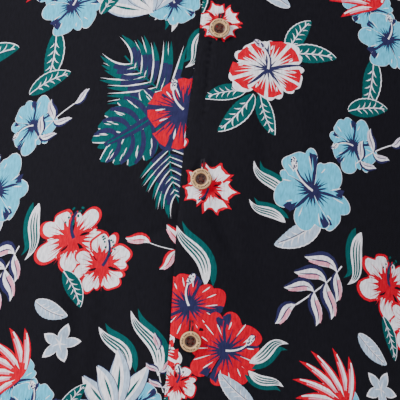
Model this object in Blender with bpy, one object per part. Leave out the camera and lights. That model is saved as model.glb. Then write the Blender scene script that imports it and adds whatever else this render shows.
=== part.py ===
"""Hawaiian shirt: short sleeves, open camp collar, buttoned front, worn form.

Each sewn piece is a flat pattern piece that is wrapped onto a general torso
and thickened into a cloth wall. World axes: +X to the wearer's left, -Y in
front, +Z up. The origin is midway between the shoulders, level with the top
of the shoulder seams.

Pattern coordinates, in millimetres: s runs sideways from the centre line,
positive to the wearer's left, and t runs down the cloth from the neck point.
"""
import bpy
import bmesh
import numpy as np
from math import cos, hypot, pi, radians, sin
from mathutils import Matrix, Quaternion, Vector
from mathutils.geometry import delaunay_2d_cdt

MM = 0.001                      # the sizes below are millimetres

# ---------------------------------------------------------------- sizes
WALL = 1.2                      # cloth with its turned seams
LAYER = 2.0                     # step from one layer of cloth to the next
SEAM = 0.35                     # space between two sewn pieces

HALF_WIDTH = 208.0              # half width of the body at the chest
HEM_DROP = 668.0                # level of the hem below the origin
ARMPIT = 265.0                  # armpit, down from the neck point
SHOULDER_TIP = 243.0            # end of the shoulder seam, sideways
SHOULDER_SLOPE = 0.272
NECK_HALF = 76.0                # half width of the neck
SQUARE_END = 294.0              # the shoulders stay deep up to about here
BACK_NECK_DROP = 22.0
BACK_NECK_SHIFT = 30.0          # the back neck lies this far behind the seam
NECK_ROUND = 25.0               # how gently the shoulder line meets the neck

OVERLAP = 12.5                  # front edges, past the centre line
LAP_FLAT, LAP_FADE = 6.0, 28.0  # past the overlap the left front lies down
BREAK = 150.0                   # foot of the lapel's roll line
ROLL_TOP = 72.0                 # where the roll line aims, at neck level
GORGE = 126.0                   # start of the collar seam, up the roll line
ROLL_RADIUS = 1.7
LAPEL_SETTLE, LAPEL_SPAN = 0.5, 30.0  # the lapel lies down by this, by there

BUTTON_TOP = 174.0              # first button, down from the neck point
BUTTON_STEP = 95.4              # 3 3/4 in
BUTTON_COUNT = 6
BUTTON_TIP = (10, 0, 0, 2, 3, 1)  # deg, out at the top on their threads
BUTTON_CLEAR = 0.4

BOW = -2.7                      # the front line bows sideways between the
BOW_MIDDLE = 269.0              # first and third buttons, most at this t
BOW_HALF = 96.0
BOW_WIDTH = 60.0                # and dies out this far from the front line

FLARE = 0.035                   # the body widens by this share to the hem
FLARE_FROM, FLARE_TO = 250.0, 700.0
SETTLE = 250.0                  # the shoulders' square plan is round by here

# Armhole curve: where its lower and upper handles lie, in mm
ARMHOLE_SCOOP = (66.0, 3.0)     # in from the armpit, and below it
ARMHOLE_HANDLE = (22.0, 128.0)  # in from the shoulder tip, and down

CUFF_CENTRE = (332.0, 0.0, -274.0)
CUFF_LEAN = radians(38.0)       # cuff plane, from level
CUFF_WIDE = 64.0
CUFF_DEEP = 63.0
SLEEVE_ROUND, SLEEVE_LONG = 400.0, 190.0
SLEEVE_CROWN = 1.1              # how far the sleeve head carries on outwards
SLEEVE_PULL = 0.9               # how full the curve down the sleeve is
SLEEVE_CLEAR, SLEEVE_TURN = 0.3, 0.9  # space at the armhole, and where it turns

FRONT, BACK = "front", "back"

# Lean of the cloth from the vertical, down the centre line.
#             t (mm), lean (deg)
LEAN = {
    FRONT: [(0, 66), (60, 57), (120, 43), (174, 27), (222, 21),
            (269, 11), (310, 1), (400, -1), (800, -1)],
    BACK: [(0, 74), (60, 52), (120, 30), (200, 10), (260, 0),
           (330, -3), (420, -1), (800, 0)],
}

# Folds. Each is a soft ridge (+) or trough (-) along a line of the pattern.
# side, s, t of the middle (mm), angle from level (deg), length, width, depth
FOLDS = [
    (FRONT, 62, 338, -6, 95, 40, -3.2),
    (FRONT, -54, 366, 88, 120, 32, -4.0),
    (FRONT, -84, 372, 84, 110, 30, 2.6),
    (FRONT, 26, 306, 62, 60, 22, -1.8),
    (FRONT, -26, 292, 140, 50, 24, -1.6),
    (FRONT, 176, 262, -34, 130, 38, -7.0),
    (FRONT, 196, 214, -52, 110, 30, 5.0),
    (FRONT, 212, 322, -48, 120, 40, 6.0),
    (FRONT, -180, 258, 214, 120, 40, -6.5),
    (FRONT, -200, 206, 234, 120, 30, 5.5),
    (FRONT, -214, 330, 226, 130, 44, 5.5),
    (FRONT, 120, 92, 62, 90, 34, -3.0),
    (FRONT, -126, 96, 118, 90, 34, -3.0),
    (FRONT, 150, 430, -20, 130, 46, -4.5),
    (FRONT, -156, 446, 200, 120, 46, -4.0),
    (FRONT, 70, 520, 84, 300, 58, -5.0),
    (FRONT, 138, 560, 88, 320, 56, 6.5),
    (FRONT, 205, 590, 92, 280, 60, -8.0),
    (FRONT, 262, 560, 90, 340, 54, 7.0),
    (FRONT, -78, 560, 94, 280, 56, -5.5),
    (FRONT, -144, 540, 92, 320, 60, 6.5),
    (FRONT, -212, 600, 88, 260, 56, -7.5),
    (FRONT, -268, 556, 90, 340, 54, 6.5),
    (BACK, 0, 160, 90, 190, 60, -4.0),
    (BACK, 128, 130, 40, 130, 40, -4.0),
    (BACK, -132, 138, 140, 130, 40, -4.0),
    (BACK, 176, 250, 32, 150, 40, -7.0),
    (BACK, 190, 206, 50, 120, 32, 5.0),
    (BACK, -172, 246, 148, 150, 42, -6.5),
    (BACK, -192, 210, 130, 120, 32, 5.5),
    (BACK, 96, 330, 14, 150, 46, -4.0),
    (BACK, -90, 352, 168, 150, 44, -4.5),
    (BACK, 20, 470, 92, 330, 62, 6.0),
    (BACK, 76, 540, 90, 300, 56, -7.0),
    (BACK, 140, 520, 88, 360, 60, 7.5),
    (BACK, 206, 580, 90, 280, 56, -8.0),
    (BACK, -44, 560, 88, 280, 54, -6.5),
    (BACK, -104, 520, 92, 360, 58, 7.0),
    (BACK, -166, 570, 90, 300, 56, -8.0),
    (BACK, -222, 520, 90, 340, 54, 6.5),
]

# Sleeve folds, alike on both sides: turn round the sleeve from its top (deg,
# forwards first), place down the sleeve (0..1), angle along the sleeve (deg),
# length, width, depth (mm)
SLEEVE_FOLDS = [
    (145, 0.26, 66, 120, 32, -6.0),
    (100, 0.50, 76, 130, 36, 4.5),
    (190, 0.62, 92, 130, 36, 5.0),
    (245, 0.34, 108, 130, 32, -5.5),
    (54, 0.70, 84, 120, 44, -4.0),
    (310, 0.66, 98, 130, 44, 4.0),
]

# The collar, from the centre back to the gorge, on each side.
# seam: 0 centre back, 1 shoulder, 2 gorge; stand, reach over the body (mm)
COLLAR = [(0.0, 31, 27), (0.5, 30, 29), (0.8, 28, 35), (1.0, 25, 43),
          (1.3, 18, 54), (1.6, 11, 64), (2.0, 3.0, 73)]
COLLAR_END = (-12.0, 72.0)      # collar end, down and out from the roll line
COLLAR_STATIONS = 15            # on each side of the centre back
COLLAR_ROWS = 4                 # up the stand, and as many down the fall
COLLAR_ROLL = 2.4               # radius of the collar's fold
COLLAR_CLEAR = 0.9              # the fall lies this far off the body
RIDGE_CLEAR, RIDGE_SPAN = 3.2, 0.2  # and this much further at the shoulder

# Lapel, from its foot over its tip to the notch at the collar, in mm: place
# on the roll line, then the outer edge's place up that line and out from it.
# The right lapel's foot is cut off by the left front that covers it.
LAPEL = {
    +1: [(3.0, 3.5, 1.0), (97.0, 92.0, 62.0), (125.5, 119.0, 38.0)],
    -1: [(32.0, 24.5, 15.0), (99.0, 92.0, 62.0), (125.5, 119.0, 38.0)],
}
LAPEL_STEPS = (9, 4)            # from the foot to the tip, and to the notch
LAPEL_ROWS = 6                  # from the roll to the edge
ROLL_ROWS = 5

# Grid spacing of the flat pieces before they are wrapped
SPACING = {"back": 21.0, "front": 18.0}
SLEEVE_COLUMNS, SLEEVE_ROWS = 28, 10

CLOTH = (0.012, 0.011, 0.016)
WOOD = (0.42, 0.25, 0.13)


# ---------------------------------------------------------------- curves
def smoothstep(x):
    x = np.clip(x, 0.0, 1.0)
    return x * x * (3 - 2 * x)


def bezier(p0, p1, p2, p3, u):
    """Points of a cubic curve at the parameters u."""
    u = np.asarray(u, float)[:, None]
    p0, p1, p2, p3 = (np.asarray(p, float) for p in (p0, p1, p2, p3))
    return ((1 - u) ** 3 * p0 + 3 * (1 - u) ** 2 * u * p1
            + 3 * (1 - u) * u ** 2 * p2 + u ** 3 * p3)


def lean_curves(table, step=0.5, blur=81):
    """Distance down the cloth, and how far it has come forward and down."""
    down = np.arange(0, 801, step)
    lean = np.interp(down, *zip(*table))
    lean = np.pad(lean, blur // 2, mode="edge")
    lean = np.radians(np.convolve(lean, np.ones(blur) / blur, mode="valid"))
    out = np.cumsum(np.sin(lean)) * step
    fall = np.cumsum(np.cos(lean)) * step
    return down, out - out[0], fall - fall[0]


def arc_table(wide, deep, steps=4000):
    """Arc length along a quarter ellipse, and the turn that it belongs to."""
    turn = np.linspace(0, pi / 2, steps)
    x, y = wide * np.sin(turn), deep * np.cos(turn)
    return np.append(0, np.cumsum(np.hypot(np.diff(x), np.diff(y)))), turn


CURVES = {side: lean_curves(LEAN[side]) for side in (FRONT, BACK)}
DEPTH = {side: CURVES[side][1].max() for side in (FRONT, BACK)}
ARCS = {side: arc_table(HALF_WIDTH, DEPTH[side]) for side in (FRONT, BACK)}
SIDE_SEAM = {side: ARCS[side][0][-1] for side in (FRONT, BACK)}
OUTWARD = {FRONT: -1.0, BACK: 1.0}


# ---------------------------------------------------------------- torso
def shoulder(s):
    """How far down the shoulder line is at s, rounded off at the neck."""
    reach = np.abs(s) - NECK_HALF
    return SHOULDER_SLOPE * (np.sqrt(reach ** 2 + NECK_ROUND ** 2) + reach) / 2


def ring(side, s, down):
    """Sideways place and depth of the torso where the cloth has come down."""
    turn = np.interp(np.abs(s), *ARCS[side])
    settle = smoothstep(down / SETTLE)
    square = 1 - (np.abs(s) / SQUARE_END) ** 16
    x = np.abs(s) + (HALF_WIDTH * np.sin(turn) - np.abs(s)) * settle
    depth = DEPTH[side] * (square + (np.cos(turn) - square) * settle)
    return x, depth


def torso(side, s, t):
    """Point of the plain torso for the pattern point (s, t)."""
    s, t = np.asarray(s, float), np.asarray(t, float)
    down = t - shoulder(s)
    x, depth = ring(side, s, down)
    along, out, fall = CURVES[side]
    share = np.interp(down, along, out) / DEPTH[side]
    steep = 1 - (depth / DEPTH[side]) ** 2
    drop = np.interp(down, along, fall)
    drop = drop + (down - drop) * steep
    flare = 1 + FLARE * smoothstep((down - FLARE_FROM)
                                   / (FLARE_TO - FLARE_FROM))
    neck = 0.0
    if side == BACK:
        inner = np.clip(1 - (s / NECK_HALF) ** 2, 0, 1)
        neck = BACK_NECK_SHIFT * inner ** 1.6
    near = np.clip((t - BOW_MIDDLE) / BOW_HALF, -1, 1)
    bow = BOW * np.cos(near * pi / 2) * np.exp(-(s / BOW_WIDTH) ** 2)
    x = np.sign(s) * x * flare
    if side == FRONT:
        x = x + bow
    y = OUTWARD[side] * depth * share * flare + neck * (1 - share)
    return np.stack([x, y, -shoulder(s) - drop], axis=-1)


def normal(side, s, t, step=0.5):
    """Outward unit normal of the plain torso."""
    across = torso(side, s + step, t) - torso(side, s - step, t)
    down = torso(side, s, t + step) - torso(side, s, t - step)
    n = np.cross(across, down) * OUTWARD[side]
    return n / np.linalg.norm(n, axis=-1, keepdims=True)


def fold_height(u, v, length, width, depth):
    """A ridge of this depth along v, u across it, dying out at its ends."""
    rise = np.exp(-(2 * u / width) ** 2)
    return depth * rise * np.exp(-(2 * v / length) ** 4)


def folds(side, s, t):
    """How far the folds push the cloth out at the pattern point."""
    height = np.zeros(np.broadcast(s, t).shape)
    for where, fs, ft, angle, length, width, depth in FOLDS:
        if where != side:
            continue
        c, k = cos(radians(angle)), sin(radians(angle))
        along = (s - fs) * c + (t - ft) * k
        across = -(s - fs) * k + (t - ft) * c
        height = height + fold_height(across, along, length, width, depth)
    return height


def wrap(side, s, t, lift=0.0):
    """World point, in mm, of the cloth at (s, t), lifted off by lift."""
    s, t = np.asarray(s, float), np.asarray(t, float)
    away = folds(side, s, t) + lift
    return torso(side, s, t) + normal(side, s, t) * np.asarray(away)[..., None]


def over_lift(s):
    """The wearer's left front lies over the right one near the centre."""
    return LAYER * (1 - smoothstep((s - OVERLAP - LAP_FLAT) / LAP_FADE))


def hem(side, s):
    """Pattern line of a hem that hangs level."""
    down = FLARE_TO
    x, depth = ring(side, s, np.asarray(down))
    along, out, fall = CURVES[side]
    saved = down - np.interp(down, along, fall)
    return HEM_DROP + saved * (depth / DEPTH[side]) ** 2


# ---------------------------------------------------------------- outlines
def armhole(side, u):
    """Armhole from the armpit, u = 0, to the shoulder tip, u = 1."""
    armpit = (SIDE_SEAM[side], ARMPIT)
    tip = (SHOULDER_TIP, float(shoulder(SHOULDER_TIP)))
    low = (armpit[0] - ARMHOLE_SCOOP[0], ARMPIT + ARMHOLE_SCOOP[1])
    high = (tip[0] - ARMHOLE_HANDLE[0], ARMHOLE_HANDLE[1])
    return bezier(armpit, low, high, tip, u)


def roll_point(l, w):
    """Pattern point l up the lapel's roll line and w out from it."""
    up = np.array([ROLL_TOP + OVERLAP, -BREAK])
    up /= np.linalg.norm(up)
    out = np.array([-up[1], up[0]])
    start = np.array([-OVERLAP, BREAK])
    return start + np.multiply.outer(l, up) + np.multiply.outer(w, out)


def back_neck(s):
    return shoulder(s) + BACK_NECK_DROP * (1 - (np.abs(s) / NECK_HALF) ** 5)


def front_neck(u):
    """Front neckline from the gorge, u = 0, to the neck point, u = 1."""
    gorge = roll_point(GORGE, 0.0)
    top = (NECK_HALF, float(shoulder(NECK_HALF)))
    return bezier(gorge, gorge + (10, -18), (NECK_HALF - 3, 16), top, u)


def spread(points, spacing):
    """The same outline with no edge longer than the spacing."""
    out = []
    for a, b in zip(points, np.roll(points, -1, axis=0)):
        n = max(1, int(np.ceil(hypot(*(b - a)) / spacing)))
        out += [a + (b - a) * k / n for k in range(n)]
    return np.array(out)


def front_outline():
    """The wearer's left front; the right one is its mirror image."""
    step = np.linspace(0, 1, 15)
    side = SIDE_SEAM[FRONT] - SEAM / 2
    bottom = np.linspace(-OVERLAP, side, 19)
    hem_line = np.stack([bottom, hem(FRONT, bottom)], axis=1)
    arm = armhole(FRONT, step) - [(SEAM / 2, 0)]
    tip = float(shoulder(SHOULDER_TIP)) + SEAM
    top = np.linspace(SHOULDER_TIP, NECK_HALF, 11)
    ridge = np.stack([top, shoulder(top) + SEAM], axis=1)
    neck = front_neck(np.linspace(1, 0, 5))
    arm[-1] = (SHOULDER_TIP, tip)
    roll = roll_point(np.array([GORGE, 0.0]), 2 * SEAM)
    return np.concatenate([hem_line, arm, ridge[1:-1], neck[:-1] + (0, SEAM),
                           roll])


def back_outline():
    step = np.linspace(0, 1, 15)
    side = SIDE_SEAM[BACK] - SEAM / 2
    bottom = np.linspace(-side, side, 31)
    hem_line = np.stack([bottom, hem(BACK, bottom)], axis=1)
    arm = armhole(BACK, step) - [(SEAM / 2, 0)]
    arm[-1] = (SHOULDER_TIP, float(shoulder(SHOULDER_TIP)) + SEAM)
    top = np.linspace(SHOULDER_TIP, NECK_HALF, 10)[1:-1]
    ridge = np.stack([top, shoulder(top) + SEAM], axis=1)
    neck_s = NECK_HALF * np.cos(np.linspace(0, pi / 2, 8))
    neck = np.stack([neck_s, back_neck(neck_s) + SEAM], axis=1)
    half = np.concatenate([arm, ridge, neck])
    mirrored = half[-2::-1] * (-1, 1)
    return np.concatenate([hem_line, half, mirrored])


# ---------------------------------------------------------------- meshes
def inside(points, outline):
    """Which points lie inside the closed outline."""
    x, y = points[:, 0], points[:, 1]
    hit = np.zeros(len(points), bool)
    for (ax, ay), (bx, by) in zip(outline, np.roll(outline, -1, axis=0)):
        if ay == by:
            continue
        crosses = (ay > y) != (by > y)
        hit ^= crosses & (x < ax + (y - ay) * (bx - ax) / (by - ay))
    return hit


def grid_faces(rows, width):
    """Quads between the neighbouring points of a grid, row after row."""
    return [(i * width + j, i * width + j + 1,
             (i + 1) * width + j + 1, (i + 1) * width + j)
            for i in range(rows - 1) for j in range(width - 1)]


def edge_distance(points, outline):
    """Distance from each point to the outline."""
    nearest = np.full(len(points), np.inf)
    for a, b in zip(outline, np.roll(outline, -1, axis=0)):
        along = b - a
        share = np.clip((points - a) @ along / max(along @ along, 1e-9), 0, 1)
        gap = np.linalg.norm(points - a - share[:, None] * along, axis=1)
        nearest = np.minimum(nearest, gap)
    return nearest


def cut(outline, spacing):
    """Flat triangles of a pattern piece: its outline and a grid inside."""
    outline = spread(outline, spacing * 1.15)
    low, high = outline.min(axis=0), outline.max(axis=0)
    rows = np.arange(low[1], high[1], spacing * 0.9)
    grid = [(x + (k % 2) * spacing / 2, y)
            for k, y in enumerate(rows)
            for x in np.arange(low[0], high[0], spacing)]
    grid = np.array(grid)
    grid = grid[inside(grid, outline)]
    grid = grid[edge_distance(grid, outline) > spacing * 0.55]
    points = np.concatenate([outline, grid])
    loop = list(range(len(outline)))
    result = delaunay_2d_cdt([Vector(p) for p in points], [], [loop], 1, 1e-4)
    return np.array([tuple(v) for v in result[0]]), result[2]


def make_material(name, colour, roughness):
    material = bpy.data.materials.new(name)
    material.use_nodes = True
    shader = material.node_tree.nodes["Principled BSDF"]
    shader.inputs["Base Color"].default_value = (*colour, 1)
    shader.inputs["Roughness"].default_value = roughness
    shader.inputs["Metallic"].default_value = 0.0
    return material


def make_object(name, points, faces, material):
    """Object from points in mm, with its faces turned to face alike."""
    mesh = bpy.data.meshes.new(name)
    mesh.from_pydata((np.asarray(points) * MM).tolist(), [], list(faces))
    mesh.materials.append(material)
    mesh.shade_smooth()
    piece = bpy.data.objects.new(name, mesh)
    bpy.context.collection.objects.link(piece)
    return piece


def thicken(piece, outward):
    """Turn the sheet into a cloth wall, on the side that outward points to."""
    bm = bmesh.new()
    bm.from_mesh(piece.data)
    bmesh.ops.recalc_face_normals(bm, faces=bm.faces)
    vote = sum(f.calc_area() * f.normal.dot(outward(f.calc_center_median()))
               for f in bm.faces)
    if vote < 0:
        bmesh.ops.reverse_faces(bm, faces=bm.faces)
    bm.to_mesh(piece.data)
    bm.free()
    wall = piece.modifiers.new("wall", "SOLIDIFY")
    wall.thickness = WALL * MM
    wall.offset = 1.0
    wall.use_even_offset = True
    wall.use_quality_normals = True
    piece.data.set_sharp_from_angle(angle=radians(50))
    return piece


# ---------------------------------------------------------------- pieces
def body_panel(name, side, outline, spacing, mirror, lift, material):
    """A front or back: cut flat, then wrapped on the torso."""
    flat, faces = cut(outline, spacing)
    s, t = flat[:, 0] * mirror, flat[:, 1]
    points = wrap(side, s, t, lift(s))
    piece = make_object(name, points, faces, material)
    return thicken(piece, lambda p: Vector((0, OUTWARD[side], 0.2)))


def lapel_stations(side):
    """Roll place and outer edge for each row of the lapel's grid."""
    corners = np.array(LAPEL[side])
    rows = [corners[:1]]
    for a, b, n in zip(corners, corners[1:], LAPEL_STEPS):
        rows.append(a + (b - a) * np.linspace(0, 1, n + 1)[1:, None])
    return np.concatenate(rows)


def lapel(name, side, material):
    """The turned-back part of a front, rolled over its roll line."""
    turns = np.linspace(0, pi, ROLL_ROWS)
    points = []
    for roll_l, edge_l, edge_w in lapel_stations(side):
        for turn in turns:
            w = -ROLL_RADIUS * sin(turn)
            height = ROLL_RADIUS * (1 - cos(turn))
            points.append((roll_l, w, height))
        for share in np.linspace(0, 1, LAPEL_ROWS + 1)[1:]:
            height = 2 * ROLL_RADIUS - LAPEL_SETTLE * smoothstep(edge_w * share
                                                            / LAPEL_SPAN)
            points.append((roll_l + (edge_l - roll_l) * share,
                           edge_w * share, height))
    l, w, height = np.array(points).T
    pattern = roll_point(l, w)
    s, t = pattern[:, 0] * side, pattern[:, 1]
    base = over_lift(s) if side > 0 else 0.0
    grid = wrap(FRONT, s, t, base + height)
    width = ROLL_ROWS + LAPEL_ROWS
    piece = make_object(name, grid, grid_faces(len(grid) // width, width),
                        material)
    return thicken(piece, lambda p: Vector((0, 0.8, -0.6)))


def neck_seam(k):
    """Pattern side, point and outward direction on the neck seam at k.

    k runs from 0 at the centre back over 1 at the neck point to 2 at the
    gorge, on the wearer's left.
    """
    ridge = np.array([1.0, SHOULDER_SLOPE])
    ridge /= np.linalg.norm(ridge)
    if k <= 1:
        s = NECK_HALF * sin(k * pi / 2)
        point = np.array([s, float(back_neck(s))])
        turn = k ** 1.5 * np.arctan2(ridge[0], ridge[1])
        return BACK, point, np.array([sin(turn), cos(turn)])
    point = front_neck([2 - k])[0]
    end = roll_point(*COLLAR_END) - roll_point(0.0, 0.0)
    end /= np.linalg.norm(end)
    mix = ridge + (end - ridge) * (k - 1) ** 0.8
    return FRONT, point, mix / np.linalg.norm(mix)


def collar_section(k, mirror):
    """One section of the collar: up the stand, over, and down the fall."""
    side, point, out = neck_seam(k)
    stand, reach = (np.interp(k, *column) for column in
                    (zip(*[(r[0], r[1]) for r in COLLAR]),
                     zip(*[(r[0], r[2]) for r in COLLAR])))
    roll = min(COLLAR_ROLL, stand / 2)
    rise = stand - roll
    rows = np.linspace(0, 1, COLLAR_ROWS)
    section = [(-SEAM - 0.1 - 0.06 * rise * a, rise * a) for a in rows]
    lean = section[-1][0]
    section += [(lean + roll * (1 - cos(a)), rise + roll * sin(a))
                for a in (pi / 3, pi * 2 / 3)]
    ridge = RIDGE_CLEAR * np.exp(-((k - 1) / RIDGE_SPAN) ** 2)
    landing = WALL + COLLAR_CLEAR + ridge
    start = lean + 2 * roll
    for a in np.linspace(0, 1, COLLAR_ROWS + 2):
        over = start + (reach - start) * a
        height = landing + (rise - landing) * (1 - a) ** 1.5
        section.append((over, max(height, landing)))
    points = []
    for over, height in section:
        s, t = point + out * over
        clear = landing if over > 0 else 0.0
        share = min(clear, height) if over > 0 else 0.0
        at = wrap(side, s * mirror, t, share)
        points.append(at + np.array([0, 0, height - share]))
    return points


def collar(material):
    """One strip swept along the neck seam from gorge to gorge."""
    ks = 2 * np.linspace(0, 1, COLLAR_STATIONS + 1) ** 0.85
    stations = [(k, -1) for k in ks[::-1]] + [(k, 1) for k in ks[1:]]
    rows = [collar_section(k, mirror) for k, mirror in stations]
    width = len(rows[0])
    points = [p for row in rows for p in row]
    piece = make_object("collar", points, grid_faces(len(rows), width),
                        material)
    return thicken(piece, lambda p: Vector((0, 0, 1)))


def armhole_edge(side, u, mirror):
    """World points of an armhole, and the way out of the cloth at each."""
    point, below = (armhole(side, u - step) * (mirror, 1)
                    for step in (0.0, 0.004))
    edge = wrap(side, *point.T, WALL / 2)
    along = wrap(side, *point.T) - wrap(side, *below.T)
    out = np.cross(along, normal(side, *point.T))
    out /= np.linalg.norm(out, axis=1, keepdims=True)
    inward = edge.mean(axis=0) - edge
    return edge, out * np.sign(np.sum(out * inward))


def armhole_ring(mirror):
    """The armhole's points, ways out of it and shares of the way round.

    The ring starts at the shoulder and runs down the front and up the back.
    """
    u = np.linspace(1, 0, SLEEVE_COLUMNS // 2 + 1)
    front, front_out = armhole_edge(FRONT, u, mirror)
    back, back_out = armhole_edge(BACK, u[::-1], mirror)
    for pair in ((front, back), (front_out, back_out)):
        top, low = pair[0][0] + pair[1][-1], pair[0][-1] + pair[1][0]
        pair[0][0], pair[1][0] = top / 2, low / 2
    shares = []
    for half in (front, back):
        steps = np.linalg.norm(np.diff(half, axis=0), axis=1)
        shares.append(np.append(0, np.cumsum(steps))[:-1] / steps.sum() / 2)
    share = np.concatenate([shares[0], shares[1] + 0.5])
    ring_ = np.concatenate([front[:-1], back[:-1]])
    out = np.concatenate([front_out[:-1], back_out[:-1]])
    return ring_, out / np.linalg.norm(out, axis=1, keepdims=True), share


def cuff_ring(mirror, share):
    """Points of the sleeve's edge, share being the way round from its top."""
    turn = 2 * pi * share
    top = np.array([cos(CUFF_LEAN) * mirror, 0, sin(CUFF_LEAN)])
    front = np.array([0, -1.0, 0])
    centre = np.array(CUFF_CENTRE) * (mirror, 1, 1)
    return (centre + np.outer(np.cos(turn) * CUFF_WIDE, top)
            + np.outer(np.sin(turn) * CUFF_DEEP, front))


def sleeve_height(share, way):
    """Folds of a sleeve, share round it and way down it."""
    height = np.zeros(np.broadcast(share, way).shape)
    for turn, place, angle, length, width, depth in SLEEVE_FOLDS:
        around = ((share - turn / 360 + 0.5) % 1 - 0.5) * SLEEVE_ROUND
        down = (way - place) * SLEEVE_LONG
        c, k = cos(radians(angle)), sin(radians(angle))
        height = height + fold_height(around * k - down * c,
                                      around * c + down * k,
                                      length, width, depth)
    return height * smoothstep(way / 0.12)


def round_off(row, amount, passes=5):
    """Draw the points of a closed row towards their neighbours."""
    for _ in range(passes):
        beside = (np.roll(row, 1, axis=0) + np.roll(row, -1, axis=0)) / 2
        row = row + 0.5 * amount * (beside - row)
    return row


def sleeve(name, mirror, material):
    """A tube from the armhole to the sleeve's edge, bending down at the top.

    Each line down the sleeve is a Hermite curve.
    """
    ring_, out, share = armhole_ring(mirror)
    cuff = cuff_ring(mirror, share)
    length = np.linalg.norm(cuff - ring_, axis=1, keepdims=True)
    straight = (cuff - ring_) / length
    facing = np.sum(straight * out, axis=1, keepdims=True)
    start = ring_ + out * (SEAM + SLEEVE_CLEAR
                           + SLEEVE_TURN * np.maximum(0, -facing))
    leave = straight + SLEEVE_CROWN * np.maximum(0, facing) * out
    leave *= length * SLEEVE_PULL / np.linalg.norm(leave, axis=1,
                                                   keepdims=True)
    arrive = np.array([sin(CUFF_LEAN) * mirror, 0, -cos(CUFF_LEAN)])
    arrive = arrive * length * SLEEVE_PULL
    rows = []
    for way in np.linspace(0, 1, SLEEVE_ROWS + 1):
        row = ((1 + 2 * way) * (1 - way) ** 2 * start
               + way * (1 - way) ** 2 * leave
               + way ** 2 * (3 - 2 * way) * cuff
               + way ** 2 * (way - 1) * arrive)
        row = round_off(row, sin(pi * way ** 0.6))
        radial = row - row.mean(axis=0)
        radial /= np.linalg.norm(radial, axis=1, keepdims=True)
        rows.append(row + radial * sleeve_height(share, way)[:, None])
    n = SLEEVE_COLUMNS
    points = np.concatenate(rows)
    faces = [(i * n + j, i * n + (j + 1) % n,
              (i + 1) * n + (j + 1) % n, (i + 1) * n + j)
             for i in range(SLEEVE_ROWS) for j in range(n)]
    piece = make_object(name, points, faces, material)
    centre = Vector(points.mean(axis=0)) * MM
    return thicken(piece, lambda p: centre - p)


# Half section of a button, from its centre out: radius, height (mm)
BUTTON_SECTION = [(0.0, 0.9), (3.0, 0.9), (4.0, 2.4), (5.3, 2.8),
                  (6.35, 1.6), (5.4, 0.0), (0.0, 0.0)]
BUTTON_SIDES = 18
HOLE_RADIUS = 0.85
HOLE_PLACE = 1.25               # each hole from the centre, along both axes


def button_mesh(material):
    """A turned, dished button with four holes."""
    bm = bmesh.new()
    previous = None
    for radius, height in BUTTON_SECTION:
        vert = bm.verts.new((radius * MM, 0, height * MM))
        if previous:
            bm.edges.new((previous, vert))
        previous = vert
    bmesh.ops.spin(bm, geom=bm.verts[:] + bm.edges[:], cent=(0, 0, 0),
                   axis=(0, 0, 1), angle=2 * pi, steps=BUTTON_SIDES,
                   use_merge=False, use_duplicate=False)
    bmesh.ops.remove_doubles(bm, verts=bm.verts, dist=1e-6)
    bmesh.ops.recalc_face_normals(bm, faces=bm.faces)
    mesh = bpy.data.meshes.new("button")
    bm.to_mesh(mesh)
    bm.free()
    mesh.materials.append(material)
    return mesh


def button_drill():
    """Four small six-sided posts that cut the thread holes."""
    bm = bmesh.new()
    for x in (-HOLE_PLACE, HOLE_PLACE):
        for y in (-HOLE_PLACE, HOLE_PLACE):
            bmesh.ops.create_cone(
                bm, cap_ends=True, segments=6, radius1=HOLE_RADIUS * MM,
                radius2=HOLE_RADIUS * MM, depth=8 * MM,
                matrix=Matrix.Translation((x * MM, y * MM, 0)))
    mesh = bpy.data.meshes.new("drill")
    bm.to_mesh(mesh)
    bm.free()
    drill = bpy.data.objects.new("drill", mesh)
    bpy.context.collection.objects.link(drill)
    drill.hide_render = True
    drill.display_type = "WIRE"
    return drill


def button(name, t, tip, mesh, drill):
    """A button on the front line, just off the cloth, with its own drill."""
    s = np.array(0.0)
    foot = BUTTON_SECTION[-2][0] * sin(radians(tip))
    lift = float(over_lift(0.0)) + WALL + BUTTON_CLEAR + foot
    at = wrap(FRONT, s, np.array(t), lift)
    n = Vector(normal(FRONT, s, np.array(t)))
    side = Vector((1, 0, 0))
    up = n.cross(side).normalized()
    side = up.cross(n)
    n.rotate(Quaternion(side, radians(tip)))
    up = n.cross(side)
    frame = Matrix((side, up, n)).transposed().to_4x4()
    frame.translation = Vector(at) * MM
    piece = bpy.data.objects.new(name, mesh)
    bpy.context.collection.objects.link(piece)
    piece.matrix_world = frame
    cutter = drill.copy()
    bpy.context.collection.objects.link(cutter)
    cutter.matrix_world = frame
    holes = piece.modifiers.new("holes", "BOOLEAN")
    holes.operation = "DIFFERENCE"
    holes.object = cutter
    return piece


def main():
    for old in list(bpy.data.objects):
        bpy.data.objects.remove(old)
    cloth = make_material("printed_rayon", CLOTH, 0.75)
    wood = make_material("coconut_wood", WOOD, 0.45)

    def flat_on(s):
        return np.zeros(len(s))

    body_panel("back", BACK, back_outline(), SPACING["back"], 1, flat_on,
               cloth)
    body_panel("front_left", FRONT, front_outline(), SPACING["front"], 1,
               over_lift, cloth)
    body_panel("front_right", FRONT, front_outline(), SPACING["front"], -1,
               flat_on, cloth)
    lapel("facing_left", 1, cloth)
    lapel("facing_right", -1, cloth)
    collar(cloth)
    sleeve("sleeve_left", 1, cloth)
    sleeve("sleeve_right", -1, cloth)
    mesh = button_mesh(wood)
    drill = button_drill()
    for k in range(BUTTON_COUNT):
        button(f"button_{k + 1}", BUTTON_TOP + k * BUTTON_STEP, BUTTON_TIP[k],
               mesh, drill)


main()
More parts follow.
